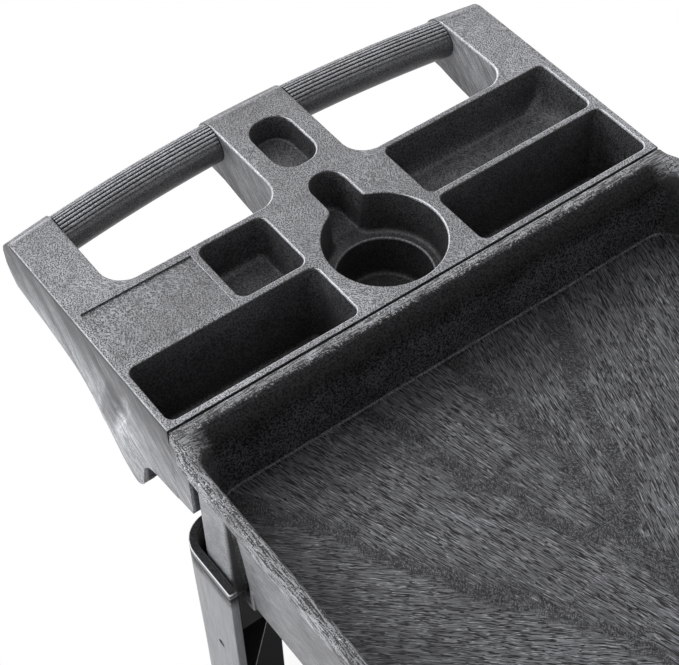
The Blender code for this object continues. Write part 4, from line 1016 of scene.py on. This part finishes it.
class Finish(Nodes):
    """A procedural material of one principled shader."""

    def __init__(self, name):
        self.mat = bpy.data.materials.new(name)
        self.mat.use_nodes = True
        super().__init__(self.mat.node_tree)
        self.shader = self.add("BsdfPrincipled")
        self.add("OutputMaterial", {"Surface": self.shader.outputs["BSDF"]})
        place = self.add("TexCoord")
        self.place = Value(self, place.outputs["Object"])
        self.facing = Value(self, place.outputs["Normal"])

    def set(self, name, value):
        self.link(self.shader.inputs[name], value)

    def done(self, tone, rough, height, distance, strength, tint=COOL_TINT):
        """Sets tone, roughness and relief, and gives the material."""
        colour = self.add("CombineColor", {n: tone * share for n, share in enumerate(tint)})
        self.set("Base Color", colour.outputs[0])
        self.set("Roughness", rough)
        relief = self.add("Bump", {"Strength": strength, "Distance": distance, "Height": height})
        self.set("Normal", relief.outputs[0])
        return self.mat

    def stretched(self, scale, low, high, detail=2.0, rough=0.6):
        """Noise of different scales along the axes, with its contrast raised."""
        return self.noise(self.vector("MULTIPLY", self.place, scale), 1.0, detail, rough).line(low, high)

    def marks(self, vector, along, across, angle, axis, seed, wobble, detail):
        """Short streaks of moulded foam: along and across are their sizes in metres."""
        warp = self.vector("SUBTRACT", self.noise(vector, 55.0, 1.0, 0.5, "Color"), (0.5, 0.5, 0.5))
        warp = self.vector("MULTIPLY", warp, (wobble * 2,) * 3)
        place = self.vector("ADD", self.vector("ADD", vector, warp), (seed, seed * 0.7, seed * 1.3))
        stretch = (1 / along, 1 / across, 1 / across)
        return self.noise(self.vector("MULTIPLY", self.turn(place, axis, angle), stretch), 1.0, detail, 0.55)

    def specks(self, size, low, high, detail=1.0):
        """Grain of light and dark points of about one size."""
        return self.noise(self.place, 1.0 / size, detail, 0.6).line(low, high)

    def clouds(self, scale, low, high, detail=3.0):
        """Slow drift of a tone."""
        return self.noise(self.place, scale, detail, 0.55).line(0.32, 0.68, low, high)


def console_side(f, specks):
    """Tone of the console's drawn side walls, with painted shade in the lobe's valley, painted highlights on
    its crease and ridge, painted shade under the top and at the seam end, and painted light towards the lobe's
    lower edge.
    """
    x, y, z = f.split(f.place)
    drawn = f.marks(f.place, 0.022, 0.0013, DRAW_ANGLE, "Y", 1.0, 0.002, 2.0).line(0.4, 0.6)
    broad = f.noise(f.vector("MULTIPLY", f.turn(f.place, "Y", DRAW_ANGLE), (10.0, 90.0, 90.0)), 1.0, 2.0, 0.5)
    tone = drawn.mix(0.105, 0.215) * broad.line(0.32, 0.68, 0.72, 1.28)
    tone = tone * specks.mix(0.8, 1.2) * f.clouds(24.0, 0.86, 1.14)
    drop = TOP - z
    back = SEAM_X - x
    far_out = abs(y).ramp(HALF - 0.0035, HALF - 0.001)
    # Painted light and shade on the outer side: lighter towards the lobe's lower edge, dark just under the top,
    # darker near the seam
    shade = (drop + (broad - 0.5) * 0.03).ramp(0.006, 0.07, 0.48, 1.8)
    shade = shade * drop.ramp(0.0018, 0.0048, 0.22, 1.0) * back.ramp(0.02, 0.062, 0.8, 1.0)
    # Painted shade in the lobe's valley, painted highlights on its crease and ridge
    valley = (back - 0.0684 - drop * 0.28).near(-0.002, 0.013) * drop.near(0.05, 0.034)
    crease = back.near(0.0955, 0.0014) * drop.near(0.066, 0.032)
    ridge = (back - drop * 0.5).near(0.0375, 0.0012) * drop.near(0.049, 0.028)
    tone = tone * far_out.mix(1.1, shade) * valley.mix(1.0, 0.5) * crease.mix(1.0, 1.2) * ridge.mix(1.0, 1.25)
    return tone, far_out


def finish_console():
    """Pale grained top, drawn sides, painted shade in the bins and painted highlights on the edges."""
    f = Finish("console_finish")
    x, y, z = f.split(f.place)
    nx, ny, nz = f.split(f.facing)
    up = nz.ramp(0.55, 0.92)
    on_top = up * z.ramp(TOP - 0.004, TOP - 0.0015)
    worms = [f.marks(f.place, 0.0034, 0.0008, angle, "Z", seed, 0.0016, 1.0)
             for angle, seed in ((0.5, 0.0), (-0.7, 3.1))]
    worms = f.noise(f.place, 26.0, 1.0, 0.5).ramp(0.44, 0.56).mix(*worms).line(0.455, 0.565)
    specks = f.specks(0.001, 0.455, 0.545)
    grain = f.clouds(38.0, 0.0, 0.65).mix(specks, worms)
    top_tone = grain.mix(0.0, 0.42) * f.clouds(13.0, 0.82, 1.18) * f.clouds(70.0, 0.84, 1.16)
    # Painted light: the top lighter towards the seam and the sides, darker at the nose
    top_tone = top_tone * z.ramp(TOP - 0.0008, TOP - 0.0003, 0.84, 1.0) * abs(y).ramp(0.1, HALF, 0.82, 1.08)
    top_tone = top_tone * x.ramp(SEAM_X - 0.1, SEAM_X, 1.0, 1.22)
    top_tone = top_tone * x.ramp(SEAM_X - CONSOLE_DEPTH, SEAM_X - 0.175, 0.82, 1.0)
    top_tone = top_tone * z.near(TOP - 0.0004, 0.0004).mix(1.0, specks.mix(0.3, 0.9))
    side_tone, far_out = console_side(f, specks)
    coarse = f.specks(0.0014, 0.44, 0.56, 2.0)
    # Painted shade: walls and floors of the recesses darker than the top, and darker still in the cup
    wall_tone = coarse.mix(0.01, 0.078) * f.clouds(30.0, 0.75, 1.3)
    floor_tone = ((coarse + worms) * 0.5).mix(0.012, 0.165) * f.clouds(40.0, 0.75, 1.25)
    reach = f.vector("LENGTH", f.join(x - (SEAM_X - CUP_SETBACK), y, 0.0), out="Value")
    inside_tone = up.mix(wall_tone, floor_tone) * reach.ramp(0.05, 0.053, 0.5, 1.0)
    oval = abs(y).ramp(0.0188, 0.02, 1.0, 0.0) * x.ramp(SEAM_X - 0.212, SEAM_X - 0.21)
    outside = most(far_out, x.ramp(SEAM_X - 0.1355, SEAM_X - 0.132, 1.0, 0.0)) * (1.0 - oval)
    tone = on_top.mix(outside.mix(inside_tone, side_tone), top_tone)
    # Painted light on the upper edge of the walls that face the lamps
    step = z.ramp(TOP - 0.0024, TOP - 0.0019) * (1.0 - up) * (nx + ny).ramp(-0.3, -0.7) * (1.0 - far_out)
    tone = step.mix(tone, specks.mix(0.25, 0.6))
    # Painted highlights on the edges where the top rolls into the walls, on the sides that face the lamps
    tilt = nz.ramp(0.985, 0.93) * nz.ramp(0.25, 0.55) * z.ramp(TOP - 0.0024, TOP - 0.0014)
    lit = tilt * (ny * -0.78 + nx * -0.62).ramp(0.06, 0.34) * far_out.mix(1.0, 0.55)
    tone = (lit * f.clouds(60.0, 0.45, 1.0)).mix(tone, specks.mix(0.62, 0.95))
    # Painted highlight on the cup's ledge round the well
    brim = reach.near(WELL_RADIUS + 0.0003, 0.0012) * z.near(TOP - CUP_LEDGE_DEPTH, 0.002)
    tone = brim.mix(tone, specks.mix(0.1, 0.3))
    rough = tilt.mix(on_top.mix(0.5, 0.46), 0.3) + specks * 0.1
    return f.done(tone, rough, on_top.mix(coarse * 0.35, grain), 0.00022, 0.7)


def finish_grip():
    """Painted shade in the grooves and painted highlights on the crests above, plain belly below with painted
    shade towards the bottom.
    """
    f = Finish("grip_finish")
    x, y, z = f.split(f.place)
    specks = f.specks(0.001, 0.455, 0.545)
    bow = f.math("POWER", abs(y / HALF), 2.0) * NOSE_CROWN
    off_x = x - bow - (SEAM_X - CONSOLE_DEPTH + GRIP_SETBACK)
    off_z = z - (TOP - GRIP_DROP)
    # Painted shade in the grooves and painted highlights on the crests, brighter where they face the back lamp
    crest = f.math("SQRT", off_x * off_x + off_z * off_z).ramp(GRIP_RADIUS - 0.0009, GRIP_RADIUS - 0.0001)
    flute_shade_and_highlight = crest.mix(0.004, (off_z - off_x).ramp(-0.008, 0.016).mix(0.1, 0.34))
    # Painted shade on the belly, darker towards the bottom
    belly = off_z.ramp(-0.012, 0.008, 0.035, 0.085)
    plain = (off_x * 0.78 - off_z).ramp(-0.0015, 0.0005)
    tone = plain.mix(flute_shade_and_highlight, belly) * specks.mix(0.45, 1.55) * f.clouds(40.0, 0.85, 1.15)
    f.set("Specular IOR Level", most(crest, plain).mix(0.1, 0.5))
    return f.done(tone, 0.36, specks, 0.0002, 0.6)


def flow_fan(f, ax, ay, specks):
    """Flow lines of the tray floor: three sheaves of threads with dark knotted bands between."""
    folded = f.join(ax, ay, f.math("SIGN", f.split(f.place)[1]) * 3.7)
    drift = (f.noise(f.place, 9.0, 3.0, 0.6) - 0.5) * 0.1
    sheaves = []
    for angle, seed in ((-0.2, 0.0), (-0.3, 2.3), (-0.84, 4.9)):
        threads = f.marks(folded, 0.02, 0.0013, angle, "Z", seed, 0.001, 1.5)
        hairs = f.marks(folded, 0.019, 0.0011, angle, "Z", seed + 9.1, 0.001, 1.5)
        tone = threads.near(0.5, 0.034).mix(threads.line(0.38, 0.62).mix(0.118, 0.178), 0.38)
        sheaves.append(hairs.near(0.5, 0.058).mix(tone, 0.0))
    knots = f.marks(folded, 0.0026, 0.001, 0.5, "Z", 7.7, 0.004, 2.0).line(0.46, 0.56)
    edge_one = ay - (ax - 0.13) * 0.43 + drift
    edge_two = ay - ax * 0.61 + drift * 0.8
    fan = edge_one.ramp(-0.003, 0.003).mix(sheaves[0], sheaves[1])
    fan = edge_two.ramp(-0.004, 0.004).mix(fan, sheaves[2])
    band = least(abs(edge_one), abs(edge_two))
    band = least(band, abs(ay + drift * 0.25)) + (f.noise(f.place, 110.0, 4.0, 0.7) - 0.5) * 0.05
    band = band.ramp(0.001, 0.014, 0.85, 0.0) * ax.ramp(0.02, 0.1, 0.4, 1.0)
    return band.mix(fan, knots.mix(0.0, 0.105) * specks.mix(0.1, 1.9))


def finish_shelf(name, top, skirt_height):
    """Fan of flow lines on the floor, streaked rim, walls darkened with painted shade, drawn skirts, and
    painted shade and highlights at the lip, scoops and undersides.
    """
    f = Finish(name)
    x, y, z = f.split(f.place)
    ny, nz = f.split(f.facing)[1:]
    specks = f.specks(0.001, 0.455, 0.545)
    coarse = f.specks(0.0016, 0.44, 0.56, 2.0)
    ax = abs(x - SHELF_MID)
    ay = abs(y)
    dx = 0.5 * (SHELF_X1 - SEAM_X) - ax
    dy = CART_WIDTH / 2 - ay
    fan = flow_fan(f, ax, ay, specks)
    # Painted shade: the floor darker near the walls
    inner = least(dx - 0.03, dy - 0.015)
    fan_tone = fan * f.clouds(16.0, 0.86, 1.14) * f.clouds(5.0, 0.88, 1.12, 2.0)
    fan_tone = fan_tone * inner.ramp(0.0, 0.085, 0.52, 1.0)
    near_end = dx.ramp(0.036, 0.031) * dy.ramp(0.006, 0.012)
    runs = [f.marks(f.place, 0.01, 0.001, angle, "Z", seed, 0.001, 1.0)
            for angle, seed in ((0.0, 0.3), (math.pi / 2, 1.7))]
    run = (near_end.mix(*runs).line(0.4, 0.6) * 0.6 + specks * 0.4).line(0.38, 0.62)
    rim_tone = run.mix(0.0, 0.27) * f.clouds(30.0, 0.7, 1.3)
    # Painted shade on the end rims where they fall away early into the tray, so only their outer strip is pale
    stray = (f.noise(f.place, 420.0, 3.0, 0.7) - 0.5) * 0.018
    falling = near_end * (dx + stray).ramp(0.005, 0.0105) * (dy + stray).ramp(0.014, 0.03)
    flecks = f.noise(f.place, 900.0, 1.0, 0.6).line(0.61, 0.66) * f.clouds(60.0, -0.4, 1.1)
    rim_tone = falling.mix(flecks.mix(rim_tone, 0.75), coarse.mix(0.006, 0.022))
    rim_tone = (flecks * dx.near(0.006, 0.006) * near_end).mix(rim_tone, 0.45)
    # Painted shade: walls darker than the floor, most on the far walls that face -y, and the end walls darker
    # towards their top
    wall_tone = coarse.mix(0.008, 0.076) * f.clouds(30.0, 0.65, 1.35) * ny.ramp(-0.2, -0.7, 1.0, 0.35)
    wall_tone = wall_tone * near_end.mix(1.0, z.ramp(top - 0.024, top - 0.006, 1.0, 0.3))
    # Painted highlight along the foot of the end walls
    foot_highlight = z.near(top - TRAY_DEPTH + 0.0012, 0.0014) * dx.near(0.03, 0.003)
    wall_tone = foot_highlight.mix(wall_tone, specks.mix(0.05, 0.2))
    on_floor = nz.ramp(0.45, 0.85) * z.ramp(top - TRAY_DEPTH + 0.004, top - TRAY_DEPTH + 0.0015)
    drop = top - LIP_HEIGHT - z
    drawn = skirt_height - LIP_HEIGHT
    lean = drop.line(0.0, drawn, 0.0, SKIRT_SLOPE)
    inside = (dx - lean).ramp(0.0222, 0.024) * (dy - lean).ramp(0.0098, 0.0112)
    inside = inside * z.ramp(top - 0.0012, top - 0.006)
    skirt_run = f.stretched((110.0, 110.0, 1200.0), 0.34, 0.66)
    skirt_tone = skirt_run.mix(0.07, 0.21) * specks.mix(0.7, 1.3) * f.clouds(26.0, 0.8, 1.2)
    # Painted shade in the scoop beside a post and on all that lies behind the skirts; painted light on the
    # skirt and post between the scoop and the tray's end
    beside = dx - (END_SETBACK + POST_X)
    share = beside / drop.ramp(0.003, 0.024, 0.002, 0.0135)
    scooped = beside.ramp(-0.0006, 0.0002) * share.ramp(1.0, 0.35) * drop.ramp(drawn - 0.0035, drawn - 0.0075)
    skirt_tone = skirt_tone * scooped.mix(1.0, 0.13) * beside.ramp(-0.002, 0.0, 1.4, 1.0)
    behind = least(dx - END_SETBACK, dy - SIDE_SETBACK) - lean
    skirt_tone = (behind.ramp(0.0065, 0.008) * z.ramp(top - 0.066, top - 0.072)).mix(skirt_tone, 0.015)
    # Painted highlight along the side lip's lower edge, strongest near the corners
    lip_highlight = drop.near(-0.0002, 0.0012) * dy.ramp(0.01, 0.008) * beside.ramp(0.0, 0.004)
    lip_highlight = lip_highlight * beside.ramp(0.16, 0.03, 0.25, 1.0)
    rim_tone = lip_highlight.mix(rim_tone, 0.7)
    skirt_tone = lip_highlight.mix(skirt_tone, 0.7)
    outer = z.ramp(top - LIP_HEIGHT + 0.001, top - LIP_HEIGHT - 0.0012) * (1.0 - inside)
    tone = inside.mix(rim_tone, on_floor.mix(wall_tone, fan_tone))
    # Painted shade on the faces that look down
    tone = nz.ramp(-0.35, -0.6).mix(outer.mix(tone, skirt_tone), 0.05)
    dull = most(falling * (1.0 - outer), inside * 0.55)
    f.set("Specular IOR Level", dull.mix(0.5, 0.06))
    height = outer.mix(inside.mix(run, on_floor.mix(coarse * 0.4, fan * 9.0)), skirt_run * 0.5)
    return f.done(tone, inside.mix(0.38, 0.46) + specks * 0.1, height, 0.00022, 0.7)


def finish_leg():
    """Drawn outer faces; painted highlight on the rim's edge, painted shade inside, on the rim's flat top and
    in its grooves.
    """
    f = Finish("leg_finish")
    x, y, z = f.split(f.place)
    nz = f.split(f.facing)[2]
    run = f.stretched((420.0, 420.0, 30.0), 0.34, 0.66, 2.0, 0.5)
    specks = f.specks(0.0009, 0.4, 0.6)
    tone = run.mix(0.17, 0.23) * specks.mix(0.9, 1.1) * f.clouds(22.0, 0.92, 1.08)
    drop = TOP - LEG_TOP - z
    collar = drop.ramp(0.007, 0.0078) * drop.ramp(0.011, 0.021, 1.0, 0.0) * f.clouds(90.0, 0.7, 1.3)
    tone = tone * collar.mix(1.0, specks.mix(0.05, 0.6))
    # Painted shade: dark lines under the rim's rounding and in its groove
    tone = most(drop.near(0.0076, 0.002), drop.near(0.0026, 0.001)).mix(tone, 0.01)
    # Painted shade inside the leg
    deep = least(0.5 * (SHELF_X1 - SEAM_X) - abs(x - SHELF_MID), CART_WIDTH / 2 - abs(y))
    tone = deep.ramp(LEG_LEAN + 0.004, LEG_LEAN + 0.003).mix(0.025, tone)
    # Painted shadow on the rim's flat top
    flat_top = nz.ramp(0.85, 0.97) * drop.ramp(0.004, 0.001)
    tone = flat_top.mix(tone, specks.mix(0.015, 0.045))
    # Painted highlight on the rounded outer edge of the rim
    rim_highlight = drop.ramp(0.0014, 0.0009) * nz.ramp(0.96, 0.8) * nz.ramp(0.05, 0.25) * deep.ramp(0.0035, 0.003)
    f.set("Specular IOR Level", most(flat_top, collar).mix(0.5, 0.15))
    return f.done(rim_highlight.mix(tone, 0.6), 0.45, run + specks, 0.00015, 0.5)


def finish_rubber():
    """Matt, faintly dusty tyre."""
    f = Finish("tyre_finish")
    fine = f.noise(f.place, 700.0, 3.0, 0.7)
    dust = f.noise(f.place, 30.0, 3.0, 0.6).line(0.35, 0.7, 0.85, 1.35)
    return f.done(fine.mix(0.022, 0.042) * dust, 0.72, fine, 0.0002, 0.5)


def finish_hub():
    """Plain dark hub."""
    f = Finish("hub_finish")
    fine = f.noise(f.place, 500.0, 3.0, 0.6)
    return f.done(fine.mix(0.045, 0.085), 0.5, fine, 0.00015, 0.5)


def finish_zinc():
    """Zinc-plated steel of forks, axles and screws."""
    f = Finish("zinc_finish")
    spangle = f.noise(f.place, 260.0, 3.0, 0.6)
    scuffs = f.noise(f.vector("MULTIPLY", f.place, (900.0, 90.0, 900.0)), 1.0, 2.0, 0.6)
    tone = spangle.line(0.3, 0.7, 0.34, 0.5) * scuffs.line(0.3, 0.7, 0.9, 1.08)
    f.set("Metallic", 1.0)
    return f.done(tone, spangle.line(0.3, 0.7, 0.28, 0.42), scuffs, 0.00008, 0.4, WARM_TINT)


# Stage, light and camera

def stage():
    """Wide pale floor that keeps the shadow and fades into white away from the cart."""
    bpy.ops.mesh.primitive_plane_add(size=30.0, location=(0, 0, 0))
    floor = bpy.context.object
    floor.name = "stage_floor"
    mat = bpy.data.materials.new("stage_floor")
    mat.use_nodes = True
    n = Nodes(mat.node_tree)
    path = n.add("LightPath").outputs
    seen = n.math("MAXIMUM", path["Is Camera Ray"], path["Is Glossy Ray"])
    place = n.vector("MULTIPLY", n.add("TexCoord").outputs["Object"], (1.0, 1.7, 1.0))
    share = seen * n.vector("LENGTH", place, out="Value").ramp(0.34, 0.58, 0.35, 1.0)
    plain = n.add("BsdfDiffuse", {"Color": (0.86, 0.86, 0.86)})
    mix = n.add("MixShader", {0: share, 1: plain.outputs[0], 2: n.add("Emission").outputs[0]})
    n.add("OutputMaterial", {"Surface": mix.outputs[0]})
    floor.data.materials.append(mat)


def sky():
    """White behind the cart, a softer fill on it."""
    world = bpy.data.worlds.new("studio")
    bpy.context.scene.world = world
    world.use_nodes = True
    n = Nodes(world.node_tree)
    path = n.add("LightPath").outputs
    seen = n.math("MAXIMUM", path["Is Camera Ray"], path["Is Glossy Ray"])
    seen = n.math("MAXIMUM", seen, path["Is Transmission Ray"])
    fill, white = (n.add("Background", {"Color": (1.0, 1.0, 1.0), "Strength": level}) for level in (0.42, 1.0))
    mix = n.add("MixShader", {0: seen, 1: fill.outputs[0], 2: white.outputs[0]})
    n.add("OutputWorld", {"Surface": mix.outputs[0]})


def softbox(name, place, aim_height, size, power):
    """Rectangular lamp aimed at a point on the cart's middle line."""
    data = bpy.data.lights.new(name, "AREA")
    data.shape = "RECTANGLE"
    data.size, data.size_y = size
    data.energy = power
    lamp = bpy.data.objects.new(name, data)
    lamp.location = place
    lamp.rotation_mode = "QUATERNION"
    lamp.rotation_quaternion = (Vector((0.0, 0.0, aim_height)) - Vector(place)).to_track_quat("-Z", "Y")
    bpy.context.scene.collection.objects.link(lamp)


def camera():
    """Camera that sees the cart at the picture's angle and distance."""
    data = bpy.data.cameras.new("camera")
    data.sensor_width = 36.0
    data.lens = FOCAL_PIXELS * data.sensor_width / PICTURE_WIDTH
    data.clip_end = 50.0
    item = bpy.data.objects.new("camera", data)
    azimuth, elevation, roll = (math.radians(v) for v in CAMERA_ANGLES)
    back = Vector((math.sin(azimuth) * math.cos(elevation), -math.cos(azimuth) * math.cos(elevation),
                   math.sin(elevation)))
    right = (-back).cross(Vector((0, 0, 1))).normalized()
    down = (-back).cross(right)
    c, s = math.cos(roll), math.sin(roll)
    right, down = right * c - down * s, right * s + down * c
    item.rotation_mode = "QUATERNION"
    item.rotation_quaternion = Matrix((right, -down, back)).transposed().to_quaternion()
    item.location = Vector((SEAM_X, 0.0, TOP)) + 2 * HALF * Vector(CAMERA_PLACE)
    bpy.context.scene.collection.objects.link(item)
    bpy.context.scene.camera = item


def dress(item, mat, body, node):
    """One piece: its finish, the body that it rides on and the node that it stands for."""
    item.data.materials.clear()
    item.data.materials.append(mat)
    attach(item, body)
    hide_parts(node)


camera()
stage()
sky()
softbox("back_box", (-2.3, 0.65, 2.3), 0.8, (2.6, 1.3), 36.0)
softbox("edge_box", (-1.27, -1.32, 2.34), 0.8, (0.8, 1.7), 24.0)
softbox("left_box", (0.1, -2.6, 0.9), 0.6, (1.8, 1.6), 40.0)
bpy.context.scene.view_settings.view_transform = "Standard"

dress(console(), finish_console(), "cart", "handle_console")
grip_mat = finish_grip()
for side_name, sign in (("left", -1), ("right", 1)):
    dress(grip("grip_bar_" + side_name, sign), grip_mat, "cart", "grip_" + side_name)
dress(shelf("upper_tray", TOP, UPPER_SKIRT, SHELF_X0, RIM_STEP, UPPER_SKIRT - POST_RISE, True),
      finish_shelf("upper_tray_finish", TOP, UPPER_SKIRT), "cart", "upper_shelf")
dress(shelf("lower_tray", LOWER_TRAY_TOP, LOWER_SKIRT, SEAM_X, 0.0, LOWER_SKIRT, False),
      finish_shelf("lower_tray_finish", LOWER_TRAY_TOP, LOWER_SKIRT), "cart", "lower_shelf")
leg_mat = finish_leg()
for corner_name, signs in CORNERS.items():
    dress(leg("corner_leg_" + corner_name, signs), leg_mat, "cart", "leg_" + corner_name)

rubber_mat = finish_rubber()
hub_mat = finish_hub()
for corner_name, (spot_x, spot_y) in zip(CORNERS, CASTER_SPOTS):
    axle_x = spot_x - TRAIL if corner_name.startswith("rear") else spot_x
    body_name = corner_name + "_wheel"
    node_name = "caster_" + corner_name
    dress(tyre("tyre_" + corner_name, axle_x, spot_y), rubber_mat, body_name, node_name + "_tyre")
    dress(hub("hub_" + corner_name, axle_x, spot_y), hub_mat, body_name, node_name + "_hub")

zinc_mat = finish_zinc()
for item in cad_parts.values():
    if not item.hide_render:
        item.data.materials.clear()
        item.data.materials.append(zinc_mat)
